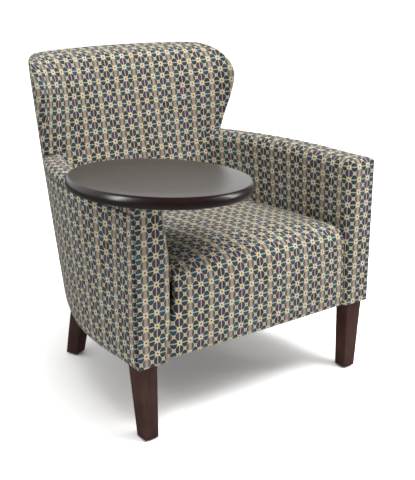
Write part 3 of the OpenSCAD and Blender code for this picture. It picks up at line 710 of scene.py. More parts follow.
@dataclass(frozen=True)
class TubWall:
    """Plan, lean and flare of the wall that arms, wings and back share.

    A station counts along the left half of the plan: 0 to 1 is the straight side, 1 to 2 the curved
    side, 2 to 3 the rear corner and 3 to 4 the back as far as the centre plane. From 4 to 8 it comes
    back along the right half.
    """

    width: float = 762.0
    front: float = -360.0
    base: float = 200.0
    side_run: float = 154.0
    side_r: float = 743.0
    side_turn: float = 30.0
    corner_r: float = 120.0
    corner_turn: float = 40.0
    rake: float = 11.2
    side_flare: float = 11.0
    wing_flare: float = 12.0
    arm_top: float = 604.0
    back_top: float = 870.0
    top_arch: float = 4.0
    turn_start: float = 0.5
    middle: float = 4.0
    slim: float = 22.0
    slim_start: float = 230.0
    slim_run: float = 290.0
    cloth_start: Spot = (56.0, 298.5)

    @property
    def side_y(self) -> float:
        """Return where the straight side ends."""
        return self.front + self.side_run

    @property
    def corner(self) -> Spot:
        """Return the centre of the rear corner's arc in plan."""
        a = math.radians(self.side_turn)
        return (-self.width / 2 + self.side_r * (1 - math.cos(a)) + self.corner_r * math.cos(a),
                self.side_y + (self.side_r - self.corner_r) * math.sin(a))

    @property
    def back(self) -> Spot:
        """Work out the back's arc in plan.

        Returns:
            Its radius and the Y of its centre.
        """
        a = math.radians(self.side_turn + self.corner_turn)
        x, y = self.corner
        radius = (self.corner_r * math.cos(a) - x) / math.cos(a)
        return radius, y + (self.corner_r - radius) * math.sin(a)

    def angle(self, t: float) -> float:
        """Return the outline's turn from straight ahead.

        Args:
            t: Station of the left half.

        Returns:
            The angle in radians.
        """
        full = self.side_turn + self.corner_turn
        if t < 1:
            return 0.0
        if t < 2:
            return math.radians(self.side_turn * (t - 1))
        if t < 3:
            return math.radians(self.side_turn + self.corner_turn * (t - 2))
        return math.radians(mix(full, 90.0, t - 3))

    def outline(self, t: float) -> Spot:
        """Return a point of the outline in plan.

        Args:
            t: Station of the left half.

        Returns:
            X and Y.
        """
        a = self.angle(t)
        if t < 1:
            return -self.width / 2, self.front + self.side_run * t
        if t < 2:
            return -self.width / 2 + self.side_r * (1 - math.cos(a)), self.side_y + self.side_r * math.sin(a)
        if t < 3:
            x, y = self.corner
            return x - self.corner_r * math.cos(a), y + self.corner_r * math.sin(a)
        radius, y = self.back
        return -radius * math.cos(a), y + radius * math.sin(a)

    def turned(self, t: float) -> float:
        """Return how far the wall has turned from an upright side to a leaning back, from 0 to 1."""
        return smooth((t - self.turn_start) / (2 - self.turn_start))

    def lean(self, t: float, z: float) -> float:
        """Return how far back the wall leans at a station and height."""
        return math.tan(math.radians(self.rake)) * (z - self.base) * self.turned(t)

    def near(self, t: float) -> float:
        """Return a station of the left half: the station itself or its mirror image."""
        return min(t, 2 * self.middle - t)

    def flare(self, t: float, z: float) -> float:
        """Return how far out the wall flares.

        Args:
            t: Station of the left half.
            z: Height.

        Returns:
            The distance outward.
        """
        low = self.side_flare * (z - self.base) / (self.arm_top - self.base)
        high = mix(self.side_flare, self.wing_flare, (z - self.arm_top) / (self.back_top - self.arm_top))
        return smooth(t - self.turn_start) * (low if z < self.arm_top else high)

    def thinning(self, t: float) -> float:
        """Return how much of the arm's thickness is lost at a station, on the way to the rear."""
        return self.slim * smooth((self.run(t) - self.slim_start) / self.slim_run)

    def place(self, t: float, z: float, d: float) -> Point:
        """Return a point of the wall, in millimetres.

        Args:
            t: Station along the plan.
            z: Height.
            d: Depth behind the outer face.

        Returns:
            X, Y and Z.
        """
        near = self.near(t)
        x, y = self.outline(near)
        a, out = self.angle(near), self.flare(near, z) - d
        x, y = x - out * math.cos(a), y + out * math.sin(a) + self.lean(near, z)
        return (x if t <= self.middle else -x), y, z

    def point(self, t: float, z: float, d: float) -> Vector:
        """Return a point of the wall, in metres."""
        return Vector(self.place(t, z, d)) * MM

    def arched(self, t: float, z: float) -> float:
        """Let a height on the back fall with its top edge toward the wings.

        Args:
            t: Station.
            z: Height at the centre plane.

        Returns:
            The height at the station.
        """
        foot = self.arm_top
        if z < foot:
            return z
        off = (self.middle - self.near(t)) / 2
        return z - self.top_arch * off * off * (z - foot) / (self.back_top - foot)

    def lengths(self) -> tuple[float, float, float, float]:
        """Return the lengths of the four stretches of the half outline."""
        radius, _ = self.back
        return (self.side_run, self.side_r * math.radians(self.side_turn),
                self.corner_r * math.radians(self.corner_turn),
                radius * math.radians(90 - self.side_turn - self.corner_turn))

    def run(self, t: float) -> float:
        """Measure along the outline from the arm's front.

        Args:
            t: Station of the left half.

        Returns:
            The distance.
        """
        total = 0.0
        for i, length in enumerate(self.lengths()):
            total += length * min(1.0, max(0.0, t - i))
        return total

    def station(self, run: float) -> float:
        """Find the station at a distance along the outline.

        Args:
            run: Distance from the arm's front.

        Returns:
            The station, in the left half.
        """
        for i, length in enumerate(self.lengths()):
            if run <= length:
                return i + run / length
            run -= length
        return self.middle

    def outside_cloth(self, t: float, z: float) -> Spot:
        """Return a place on the cloth of the outside: along the outline and up the leaning wall.

        Args:
            t: Station.
            z: Height.

        Returns:
            The place across and up the cloth.
        """
        near = self.near(t)
        run = self.run(near) if t <= self.middle else 2 * self.run(self.middle) - self.run(near)
        slope = 1 / math.cos(math.radians(self.rake) * self.turned(near))
        return run - self.cloth_start[0], (z - self.base) * slope - self.cloth_start[1]

    def stations(self, t0: float, t1: float, step: float) -> list[float]:
        """Return stations of the left half, evenly spaced along the outline.

        Args:
            t0: First station.
            t1: Last station.
            step: Greatest spacing.

        Returns:
            The stations, both ends among them.
        """
        a, b = self.run(t0), self.run(t1)
        count = max(1, math.ceil((b - a) / step))
        return [self.station(mix(a, b, i / count)) for i in range(count + 1)]


WALL = TubWall()


@dataclass
class Seat:
    """Tight seat: a crowned top that falls over a rounded nose and down the front to the lower edge."""

    cloth: bpy.types.Material
    side_d: float = 85.0
    front_z: float = 430.0
    fall: float = 14.0
    crown: float = 20.0
    crown_power: float = 2.4
    crown_start: float = 0.25
    crown_rise: float = 3.0
    crown_fade: float = 0.5
    nose_r: float = 42.0
    nose_steps: int = 8
    swell: float = 3.0
    back_t: float = 91.6
    rear: float = 1.93
    edge_r: float = 11.0
    depth: float = 46.0
    tuck: float = 6.0
    tuck_h: float = 22.0
    hem: float = 1.0
    bow_w: float = 1.08
    pinch: Spot = (21.5, 3.0)
    pinch_z: Spot = (265.0, 75.0)
    pinch_reach: Spot = (90.0, 95.0)
    under_pinch: float = 1.9
    under_w: float = 200.0
    step: float = 12.0
    columns: int = 50
    phase: Spot = (140.0, -183.0)
    stuffing: Stuffing = Stuffing(reach=5.0, fill=0.8)

    def build(self) -> bpy.types.Object:
        """Build, swell and dress the seat.

        Returns:
            The finished piece.
        """
        rows = self._rows()
        piece = Cover("seat_cover").tube([self._ring(rows, i) for i in range(len(rows))], self.cloth)
        self.stuffing.swell(piece)
        return finish_cover(piece, ["seat"])

    def _half_width(self, t: float, z: float) -> float:
        """Return half of the seat's width at a station."""
        return -WALL.place(t, z, self.side_d - WALL.thinning(t))[0]

    def _y(self, t: float, z: float) -> float:
        """Return how far back the seat's side is at a station."""
        return WALL.place(t, z, self.side_d - WALL.thinning(t))[1]

    def _back_face(self, x: float, z: float) -> float:
        """Return where the padded back's inner face is.

        Args:
            x: Distance from the centre plane.
            z: Height.

        Returns:
            Its Y.
        """
        radius, cy = WALL.back
        cx, cyy = WALL.corner
        out = WALL.flare(WALL.middle, z) - self.back_t
        edge = math.cos(math.radians(WALL.side_turn + WALL.corner_turn))
        if abs(x) < (radius + out) * edge:
            y = cy + math.sqrt((radius + out) ** 2 - x * x)
        else:
            y = cyy + math.sqrt(max(0.0, (WALL.corner_r + out) ** 2 - (-abs(x) - cx) ** 2))
        return WALL.lean(WALL.middle, z) + y

    def _top(self, a: float, f: float) -> float:
        """Return the seat's height.

        Args:
            a: Place across, from -1 to 1.
            f: Share of the way back.

        Returns:
            The height.
        """
        crown = self.crown * (1 - abs(a) ** self.crown_power)
        crown *= smooth(self.crown_start + self.crown_rise * f)
        return self.front_z + crown * (1 - self.crown_fade * f) - self.fall * f

    def _rows(self) -> list[list[Point]]:
        """Work out the outer face.

        Returns:
            Its rows, from the rear to the lower front edge.
        """
        rear_y, front = self._y(self.rear, self.front_z), WALL.front
        first = WALL.station(self.nose_r)
        across = [2 * i / self.columns - 1 for i in range(self.columns + 1)]
        rows = []
        for t in reversed(WALL.stations(first, self.rear, self.step)):
            f = (self._y(t, self.front_z) - front) / (rear_y - front)
            rows.append([self._row_point(a, t, f) for a in across])
        for k in range(self.nose_steps, -1, -1):
            b = math.radians(90 * k / self.nose_steps)
            rows.append([self._nose_point(a, b) for a in across])
        low = self.front_z - self.nose_r
        count = math.ceil((low - WALL.base) / self.step)
        for i in range(1, count + 1):
            z = mix(low, WALL.base + self.hem, i / count)
            tuck = self.tuck * max(0.0, 1 - (z - WALL.base) / self.tuck_h) ** 2
            full = (z - WALL.base) / (low - WALL.base)
            rows.append([(a * self._half_width(0, WALL.base),
                          front + tuck - self.swell * smooth(full) * (1 - a * a), z) for a in across])
        return rows

    def _row_point(self, a: float, t: float, f: float) -> Point:
        """Return a point of the top.

        Args:
            a: Place across, from -1 to 1.
            t: Station of the seat's side.
            f: Share of the way back.

        Returns:
            X, Y and Z.
        """
        z = self._top(a, f)
        rear_w = self._half_width(self.rear, z)
        bow = self._back_face(min(1.0, abs(a) * self.bow_w) * rear_w, z) - self._back_face(rear_w, z)
        return a * self._half_width(t, z), self._y(t, z) + f ** 3 * bow, z

    def _nose_point(self, a: float, b: float) -> Point:
        """Return a point of the rounded nose.

        Args:
            a: Place across, from -1 to 1.
            b: Angle from straight ahead, in radians.

        Returns:
            X, Y and Z.
        """
        share = self.nose_r / (self._y(self.rear, self.front_z) - WALL.front)
        top = self._top(a, share)
        return (a * self._half_width(0, WALL.base),
                WALL.front + self.nose_r * (1 - math.cos(b)) - self.swell * (1 - a * a) * math.cos(b),
                top - self.nose_r * (1 - math.sin(b)))

    def _ring(self, rows: list[list[Point]], i: int) -> list[Knot]:
        """Return the section across the seat at one row: the face, its rounded sides and the underside.

        Args:
            rows: All rows of the outer face.
            i: The row's number.

        Returns:
            The closed ring.
        """
        row = rows[i]
        before, after = rows[max(0, i - 1)], rows[min(len(rows) - 1, i + 1)]
        mid = len(row) // 2
        along = Vector(after[mid]) - Vector(before[mid])
        inward = Vector((0.0, -along.z, along.y)).normalized()
        run = sum((Vector(rows[k + 1][mid]) - Vector(rows[k][mid])).length for k in range(i, len(rows) - 1))
        end = i in (0, len(rows) - 1)
        away = max(0.0, row[mid][1] - WALL.front)
        near = smooth((row[mid][2] - self.pinch_z[0]) / self.pinch_z[1])
        near *= math.exp(-(away / self.pinch_reach[1]) ** 2)
        half = abs(row[0][0])
        u0, v0 = self.phase
        face, under = [], []
        for p in row:
            pinch = near * self.pinch[p[0] > 0]
            gap = half - abs(p[0])
            drop = 0.0
            if gap < self.edge_r:
                side = 1 - gap / self.edge_r
                drop = self.edge_r * (1 - math.sqrt(max(0.0, 1 - side * side)))
            x = p[0] - math.copysign(pinch * max(0.0, 1 - gap / self.pinch_reach[0]), p[0])
            at = (Vector((x, p[1], p[2])) + inward * drop) * MM
            face.append(knot(at, (x + u0, run + v0), end))
            x = p[0] - math.copysign(pinch * self.under_pinch, p[0]) * smooth(abs(p[0]) / self.under_w)
            at = (Vector((x, p[1], p[2])) + inward * self.depth) * MM
            under.append(knot(at, (p[0] + u0, run + v0), True))
        return face + under[::-1]


@dataclass
class Arm:
    """Padded arm: its front panel, inside and top in one cover, rounded over the front edges."""

    cloth: bpy.types.Material
    side: Side
    width: float = 84.0
    top: float = 603.0
    inner_r: float = 28.0
    outer_r: float = 16.0
    inside_z: float = 338.0
    inside_d: float = 57.5
    board_z: float = 579.6
    cover_d: float = 8.0
    end: float = 1.936
    tail: tuple[float, ...] = (2.12, 2.06, 2.0)
    tail_d: float = 22.0
    front_r: float = 24.0
    top_r: float = 17.0
    seam_r: float = 3.0
    seam_d: float = 0.8
    lower_r: float = 7.0
    step: float = 12.0
    side_points: int = 38
    foot_points: int = 8
    outer_points: int = 3
    inner_steps: int = 7
    flat_steps: int = 4
    outer_steps: int = 5
    front_gap: float = 3.0
    seam_gap: float = 1.2
    tail_drop: float = 2.0
    edge_run: float = 130.0
    seam_ease: float = 1.4
    held_z: float = 400.0
    foot_z: float = 225.0
    bulge_d: float = 19.5
    bulge_run: float = 110.0
    bulge_foot: Spot = (220.0, 95.0)
    bulge_head: Spot = (430.0, 175.0)
    stuffing: Stuffing = Stuffing(reach=3.0, fill=0.9)
    pivot: Spot = (-352.3, -230.1)
    pivot_r: float = 24.5
    pivot_h: float = 14.0

    @property
    def word(self) -> str:
        """Return the side's name."""
        return self.side.name.lower()

    @property
    def phase(self) -> Spot:
        """Return where the pattern starts, across from the inner front edge and upward."""
        return (29.0, -407.0) if self.side is Side.LEFT else (-4.0, -452.8)

    def build(self) -> bpy.types.Object:
        """Build, swell and dress the arm.

        Returns:
            The finished piece.
        """
        cover = Cover("arm_cover_" + self.word)
        behind = self._back_rings()
        behind += [self._panel_ring(self.front_r + self.front_gap), self._panel_ring(self.front_r)]
        rows = cover.loft(behind)
        self._grid(cover, rows[0], behind[0], False)
        front = [self._edge_ring(math.radians(turn)) for turn in range(90, -1, -15)]
        front.insert(0, [knot(k.at, f.before) for k, f in zip(behind[-1], front[0])])
        rows = cover.loft(front, rows[-1])
        self._grid(cover, rows[-1], front[-1], True)
        piece = cover.build(self.cloth)
        self.stuffing.swell(piece)
        if self.side is Side.LEFT:
            self._open_pivot(piece)
        return finish_cover(piece, ["arm_pad_" + self.word, "arm_front_" + self.word])

    def bulge(self, s: float, z: float) -> float:
        """Return how far the left arm's inside swells over the seat's corner, near the front.

        Args:
            s: Distance behind the front.
            z: Height.

        Returns:
            The distance inward.
        """
        if self.side is Side.RIGHT:
            return 0.0
        foot = smooth((z - self.bulge_foot[0]) / self.bulge_foot[1])
        head = 1 - smooth((z - self.bulge_head[0]) / self.bulge_head[1])
        return self.bulge_d * math.exp(-(s / self.bulge_run) ** 2) * foot * head

    def _at(self, s: float, d: float, z: float, inner: float = 0.0) -> Vector:
        """Return a point of the arm, in metres.

        Args:
            s: Distance behind the front.
            d: Depth behind the outer face.
            z: Height.
            inner: Share of the inside's swell that the point takes.

        Returns:
            The point.
        """
        s = max(0.0, s)
        t = WALL.station(s)
        share = 1 - WALL.thinning(t) / self.width
        p = WALL.point(t, z, d * share + inner * self.bulge(s, z))
        return p if self.side is Side.LEFT else mirror(p)

    def _chain(self) -> list[tuple[float, float, float, float]]:
        """Work out the top of the section.

        Returns:
            Depth, height and outward direction of its points, inner side first.
        """
        chain = []
        for k in range(self.inner_steps):
            b = math.radians(90 * k / self.inner_steps)
            chain.append((self.width - self.inner_r * (1 - math.cos(b)),
                          self.top - self.inner_r * (1 - math.sin(b)), math.cos(b), math.sin(b)))
        for k in range(self.flat_steps + 1):
            across = mix(self.width - self.inner_r, self.outer_r, k / self.flat_steps)
            chain.append((across, self.top, 0.0, 1.0))
        for k in range(1, self.outer_steps + 1):
            b = math.radians(90 * k / self.outer_steps)
            chain.append((self.outer_r * (1 - math.sin(b)), self.top - self.outer_r * (1 - math.cos(b)),
                          -math.sin(b), math.cos(b)))
        return chain

    def _inside_cloth(self, s: float, d: float, z: float) -> Spot:
        """Return a place on the cloth of the inside and the top, from the seat up and over the arm.

        Args:
            s: Distance behind the front.
            d: Depth behind the outer face.
            z: Height.

        Returns:
            The place across and up the cloth.
        """
        low = self.top - self.inner_r
        flat = self.width - self.inner_r
        v = z
        if z > low:
            v = low + self.inner_r * math.asin(min(1.0, (z - low) / self.inner_r)) + max(0.0, flat - d)
        return s - self.front_r * (2 - math.pi / 2) + self.phase[0], v + self.phase[1]

    def _outside_cloth(self, s: float, z: float) -> Spot:
        """Return a place on the cloth of the outer edge, in step with the outside panel below it.

        Args:
            s: Distance behind the front.
            z: Height.

        Returns:
            The place across and up the cloth.
        """
        low = self.top - self.outer_r
        height = z
        if z > low:
            height = low + self.outer_r * math.asin(min(1.0, (z - low) / self.outer_r))
        return WALL.outside_cloth(WALL.station(max(0.0, s)), height)

    def _top_knots(self, s: float, held: bool, inset: float) -> list[Knot]:
        """Return the points over the top, with the cloth's seam where the outer rounding starts.

        Args:
            s: Distance behind the front.
            held: Whether the points are held.
            inset: Least depth behind the outer face, for the part inside the back.

        Returns:
            The points, inner side first.
        """
        knots = []
        for d, z, nd, _ in self._chain():
            inside, outside = self._inside_cloth(s, d, z), self._outside_cloth(s, z)
            at = self._at(s, max(d, inset), z - (inset > 0) * self.tail_drop, max(0.0, nd))
            seam = abs(d - self.outer_r) < 0.01 and nd == 0.0
            if seam:
                knots.append(Knot(at, inside, outside, held))
            else:
                knots.append(knot(at, outside if nd < 0 else inside, held))
        return knots

    def _back_rings(self) -> list[list[Knot]]:
        """Work out the padding of the inside and the top, behind the front panel.

        Returns:
            Its rings, from the rear to the front.
        """
        rings = []
        m, low, count = self.side_points, self.foot_points, len(self._chain())
        inner_z, outer_z = self.top - self.inner_r, self.top - self.outer_r
        shown = WALL.stations(WALL.station(self.front_r + 2 * self.front_gap), self.end, self.step)
        for n, t in enumerate([*self.tail, *reversed(shown)]):
            s = WALL.run(t)
            # Behind the arm's end only the inside goes on, into the back
            inset = self.tail_d if t > self.end else 0.0
            ring = []
            for k in range(m):
                d, z = self.width, mix(self.inside_z, inner_z, (k - low) / (m - low))
                if k < low:
                    d, z = mix(self.inside_d, self.width, k / low), self.inside_z
                at = self._at(s, d, z, float(k >= low))
                ring.append(knot(at, self._inside_cloth(s, d, z), z < self.held_z or n == 0))
            ring += self._top_knots(s, n == 0, inset)
            for k in range(1, m + 1):
                d, z = 0.0, mix(outer_z, self.board_z, k / self.outer_points)
                if k > self.outer_points:
                    across = (k - self.outer_points) / (m - self.outer_points)
                    d, z = mix(0.0, self.inside_d, across), self.board_z
                ring.append(knot(self._at(s, max(d, inset), z), self._outside_cloth(s, z), True))
            for k in range(1, count + 1):
                z = mix(self.board_z, self.inside_z, k / (count + 1))
                ring.append(knot(self._at(s, self.inside_d, z), (s, z), True))
            rings.append(ring)
        return rings

    def _sides(self) -> list[tuple[float, ...]]:
        """Work out the front panel's outline.

        Returns:
            Depth, height, outward direction and radius of the front edge, point by point.
        """
        m, low, count = self.side_points, self.foot_points, len(self._chain())
        inner_z, outer_z = self.top - self.inner_r, self.top - self.outer_r
        out = []
        for k in range(m):
            z = mix(self.inside_z, inner_z, (k - low) / (m - low))
            if k < low:
                z = mix(WALL.base, self.inside_z, k / low)
            r = mix(self.lower_r, self.front_r, smooth((z - WALL.base) / self.edge_run))
            out.append((self.width, z, 1.0, 0.0, r))
        for d, z, nd, nz in self._chain():
            r = mix(self.top_r, self.front_r, nd)
            if nd < 0:
                r = mix(self.top_r, self.seam_r, smooth(-self.seam_ease * nd))
            out.append((max(d, -nd * self.seam_d), z, nd, nz, r))
        for k in range(1, m + 1):
            out.append((self.seam_d, mix(outer_z, WALL.base, k / m), -1.0, 0.0, self.seam_r))
        for k in range(1, count + 1):
            out.append((mix(self.seam_d, self.width, k / (count + 1)), WALL.base, 0.0, -1.0, self.lower_r))
        return out

    def _panel_ring(self, s: float) -> list[Knot]:
        """Return a ring of the front panel behind its rounded edge.

        Args:
            s: Distance behind the front.

        Returns:
            The closed ring.
        """
        ring = []
        near = s <= self.front_r
        for d, z, nd, nz, _ in self._sides():
            if nd > 0 or nz > 0:
                cloth = self._outside_cloth(s, z) if nd < 0 else self._inside_cloth(s, d, z)
                ring.append(knot(self._at(s, d, z, max(0.0, nd)), cloth, z < self.held_z))
            else:
                back = self.seam_r + self.seam_gap if near and nd < 0 else s
                depth = self.cover_d if nd < 0 else max(self.cover_d, d)
                ring.append(knot(self._at(back, depth, z), self._outside_cloth(back, z), True))
        return ring

    def _edge_ring(self, b: float) -> list[Knot]:
        """Return a ring of the panel's rounded edge.

        Args:
            b: Angle from the front, in radians: a right angle at the side, nothing at the face.

        Returns:
            The closed ring, with the cloth of the front drawn over the edge.
        """
        ring = []
        for d, z, nd, nz, r in self._sides():
            inset, back = r * (1 - math.sin(b)), r * (1 - math.cos(b))
            at = self._at(back, d - nd * inset, z - nz * inset, max(0.0, nd))
            u = d - nd * r - self.width + nd * r * b + max(0.0, nd) * self.bulge(back, z)
            v = z - nz * r + nz * r * b
            held = nd < -0.5 or nz < 0 or z < self.foot_z
            ring.append(knot(at, (u + self.phase[0], v + self.phase[1]), held))
        return ring

    def _grid(self, cover: Cover, row: list[int], ring: list[Knot], front: bool) -> None:
        """Fill a four-sided ring by a grid of quads.

        Args:
            cover: The cover that takes the faces.
            row: The ring's point indices.
            ring: The ring's points.
            front: Whether the grid is the panel's face, whose cloth lies flat on it.
        """
        m, count = self.side_points, len(self._chain())
        grid: list[list[int]] = []
        for i in range(m):
            line = [row[i]]
            for j in range(1, count + 1):
                line.append(row[2 * m + 2 * count - j] if i == 0 else self._between(cover, ring, i, j))
            grid.append(line + [row[2 * m + count - 1 - i]])
        grid.append([-1] + [row[m + j] for j in range(count)] + [-1])
        for low, high in zip(grid, grid[1:]):
            for j in range(count + 1):
                corners = [c for c in (low[j], low[j + 1], high[j + 1], high[j]) if c >= 0]
                cover.face(tuple(corners), [self._face_cloth(cover.points[c], front) for c in corners])

    def _between(self, cover: Cover, ring: list[Knot], i: int, j: int) -> int:
        """Add a point of the grid between the ring's inner and outer sides.

        Args:
            cover: The cover that takes the point.
            ring: The ring's points.
            i: Number of the grid's row.
            j: Number of its column.

        Returns:
            The point's index.
        """
        m, count = self.side_points, len(self._chain())
        a, b = ring[i].at, ring[2 * m + count - 1 - i].at
        first, last = ring[m].at.x, ring[m + count - 1].at.x
        f = (first - ring[m + j - 1].at.x) / ((first - last) or 1.0)
        # Partly even, partly below the points of the top, and clear of both sides
        f = mix(j / (count + 1), mix(0.03, 0.97, f), 0.4)
        return cover.ring([knot(a.lerp(b, f), (0.0, 0.0))])[0]

    def _face_cloth(self, at: Vector, front: bool) -> Spot:
        """Return the place on the cloth of a point of a grid.

        Args:
            at: The point, in metres.
            front: Whether the grid is the panel's face.

        Returns:
            The place across and up the cloth.
        """
        if not front:
            return 0.0, 0.0
        inner = WALL.width / 2 - self.width
        return inner - abs(at.x) / MM + self.phase[0], at.z / MM + self.phase[1]

    def _open_pivot(self, piece: bpy.types.Object) -> None:
        """Cut the round hole in the arm's top that the swivel socket comes up through.

        Args:
            piece: The arm's cover.
        """
        shell = bmesh.new()
        shell.from_mesh(piece.data)
        centre = Vector(self.pivot) * MM
        radius = self.pivot_r * MM
        floor = (self.top - self.pivot_h) * MM
        # Faces that look up, near the arm's top
        tops = [f for f in shell.faces if f.normal.z > 0.8 and f.calc_center_median().z > floor
                and (f.calc_center_median().xy - centre).length < radius]
        bmesh.ops.delete(shell, geom=tops, context="FACES")
        for edge in [e for e in shell.edges if e.is_boundary]:
            for vertex in edge.verts:
                off = vertex.co.xy - centre
                if off.length < 2 * radius:
                    vertex.co.xy = centre + off.normalized() * radius
        shell.to_mesh(piece.data)
        shell.free()


@dataclass
class InsideBack:
    """Padded back with its wings: a pad nearly flat across that rolls over the top and round the wings."""

    cloth: bpy.types.Material
    lower_z: float = 373.0
    wing_z: float = 604.8
    foot: float = 1.99
    seam: float = 1.93
    mid_y: float = 222.0
    low_x: float = 262.0
    low_sag: float = 14.0
    bow: Spot = (2.2, 2.6)
    bow_z: Spot = (620.0, 180.0)
    nose: float = 11.0
    nose_power: int = 20
    tip_d: float = 26.0
    inner_d: float = 35.0
    hook_d: float = 0.5
    lap: float = 30.0
    lap_d: float = 2.4
    wing_y: float = 205.0
    wing_sweep: float = 24.0
    wing_r: float = 4.0
    wing_rows: tuple[float, ...] = (0.0, 1.2, 4.0, 9.0)
    wing_foot: float = 18.0
    arm_gap: float = 0.4
    hook_lip: float = 1.5
    crest_gap: float = 0.5
    seam_hold: float = 0.02
    ear_run: float = 150.0
    ear_h: float = 100.0
    tip_r: float = 26.0
    tip_share: float = 0.03
    top_gap: float = 0.6
    hook_z: float = 837.0
    rim_h: float = 21.0
    crest: float = 0.62
    step: float = 12.0
    half_points: int = 42
    even: float = 0.55
    rim_steps: int = 9
    rim_turn: float = 86.0
    seat_z: float = 440.0
    side_points: int = 6
    phase: Spot = (12.0, 13.2)
    stuffing: Stuffing = Stuffing(reach=5.0, fill=0.85)

    @property
    def roll_z(self) -> float:
        """Return the height at which the roll begins."""
        return WALL.back_top - self.rim_h - self.crest_gap

    def build(self) -> bpy.types.Object:
        """Build, swell and dress the back.

        Returns:
            The finished piece.
        """
        piece = Cover("inside_back_cover").tube(self._rings(), self.cloth)
        self.stuffing.swell(piece)
        return finish_cover(piece, ["inside_back"])

    def _levels(self) -> list[Spot]:
        """Work out the heights of the rings.

        Returns:
            Height and share of the full thickness of each ring.
        """
        count = math.ceil((self.wing_z - self.lower_z) / self.step)
        heights = [mix(self.lower_z, self.wing_z - self.arm_gap, i / (count - 1)) for i in range(count)]
        heights += [self.wing_z + rise for rise in self.wing_rows]
        foot = self.wing_z + self.wing_foot
        count = math.ceil((self.hook_z - foot) / self.step)
        heights += [mix(foot, self.hook_z, i / count) for i in range(count + 1)]
        heights += [self.hook_z + self.hook_lip, self.roll_z]
        levels = [(z, 1.0) for z in heights]
        for k in range(1, self.rim_steps + 1):
            b = math.radians(self.rim_turn * k / self.rim_steps)
            levels.append((self.roll_z + self.rim_h * math.sin(b), math.cos(b)))
        return levels

    def _tip(self, z: float) -> float:
        """Return where the pad ends: at the wing's front edge, or inside the arm below it.

        Args:
            z: Height.

        Returns:
            The station.
        """
        if z < self.wing_z:
            return self.foot
        ear_z = WALL.back_top - self.ear_h
        z = min(z, WALL.back_top - self.top_gap)
        swept = smooth((z - WALL.arm_top) / (ear_z - WALL.arm_top))
        y = mix(self.wing_y, self.wing_y - self.wing_sweep, swept)
        y -= math.tan(math.radians(WALL.rake)) * (z - WALL.base) + WALL.side_y
        low = max(0.0, self.wing_r - (z - self.wing_z))
        ear = self.wing_r - math.sqrt(self.wing_r ** 2 - low * low)
        if z > ear_z:
            ear += self.ear_run * (1 - math.sqrt(max(0.0, 1 - ((z - ear_z) / self.ear_h) ** 2)))
        return WALL.station(WALL.side_run + WALL.side_r * math.asin(y / WALL.side_r) + ear)

    def _spread(self) -> list[float]:
        """Return shares of the half width, from 1 at the end to 0 in the middle, closest at the end."""
        shares = [k / self.half_points for k in range(self.half_points + 1)]
        return [1 - self.even * f - (1 - self.even) * (1 - math.cos(f * math.pi / 2)) for f in shares]

    def _inner(self, z: float) -> list[Vector]:
        """Work out the inner face at a height.

        Args:
            z: Height.

        Returns:
            Its points from the left end to the right, in millimetres.
        """
        middle = self.mid_y + math.tan(math.radians(WALL.rake)) * (z - WALL.arm_top)
        x, y, nose = -self.low_x, middle - self.low_sag, 0.0
        if z >= self.wing_z:
            x, y, _ = WALL.place(self._tip(z), z, self.tip_d)
            nose = min(self.nose, 0.5 * max(0.0, middle - y))
        sag = middle - y - nose
        power = mix(*self.bow, smooth((z - self.bow_z[0]) / self.bow_z[1]))
        left = []
        for w in self._spread():
            left.append(Vector((x * w, middle - sag * w ** power - nose * w ** self.nose_power, z)))
        return left + [mirror(p) for p in reversed(left[:-1])]

    def _depth(self, t: float, z: float) -> float:
        """Return how deep the outer face lies: in view, lapped under the outside panels' edges, or inside.

        Args:
            t: Station of the left half.
            z: Height.

        Returns:
            The depth behind the wall's outer face.
        """
        above = z >= self.wing_z
        if z > self.hook_z or (above and t < self.seam):
            return self.hook_d
        lapped = z > self.hook_z - self.lap or (above and t < WALL.station(WALL.run(self.seam) + self.lap))
        return self.lap_d if lapped else self.inner_d

    def _outer(self, z: float) -> list[Spot]:
        """Work out the outer face at a height.

        Args:
            z: Height.

        Returns:
            Station and depth of its points, from the left end to the right.
        """
        start = WALL.run(self._tip(z))
        length = WALL.run(WALL.middle) - start
        left = []
        for w in self._spread():
            run = length * (1 - w)
            t = WALL.station(start + run)
            d = self._depth(t, z)
            share = math.sqrt(max(0.0, 1 - max(0.0, 1 - run / self.tip_r) ** 2))
            left.append((t, mix(self.tip_d, d, max(self.tip_share, share))))
        return left + [(2 * WALL.middle - t, d) for t, d in reversed(left[:-1])]

    def _section(self, z: float, f: float) -> tuple[list[Vector], list[Vector], list[float]]:
        """Return the pad's section at a height.

        Args:
            z: Height.
            f: Share of the full thickness, below 1 on the roll.

        Returns:
            The inner points and the outer points from left to right, in metres, and the outer stations.
        """
        inner, outer, stations = [], [], []
        for p, (t, d) in zip(self._inner(z), self._outer(z)):
            fall = WALL.arched(t, z) - z
            a = (p + Vector((0.0, 0.0, fall))) * MM
            b = WALL.point(t, z + fall, d)
            top = a.lerp(b, self.crest)
            inner.append(top.lerp(a, f))
            outer.append(top.lerp(b, f))
            stations.append(WALL.near(t))
        return inner, outer, stations

    def _rings(self) -> list[list[Knot]]:
        """Work out all rings of the pad.

        Returns:
            The rings, each along the inner face to the right and back along the outer.
        """
        levels = self._levels()
        sections = [self._section(z, f) for z, f in levels]
        rise: list[list[float]] = []
        for i, (inner, _, _) in enumerate(sections):
            if levels[i][1] == 1.0:
                rise.append([self._rise(p) for p in inner])
            else:
                below = sections[i - 1][0]
                rise.append([v + (p - q).length / MM for v, p, q in zip(rise[-1], inner, below)])
        return [self._ring(z, f, section, v, rise[-1]) for (z, f), section, v in zip(levels, sections, rise)]

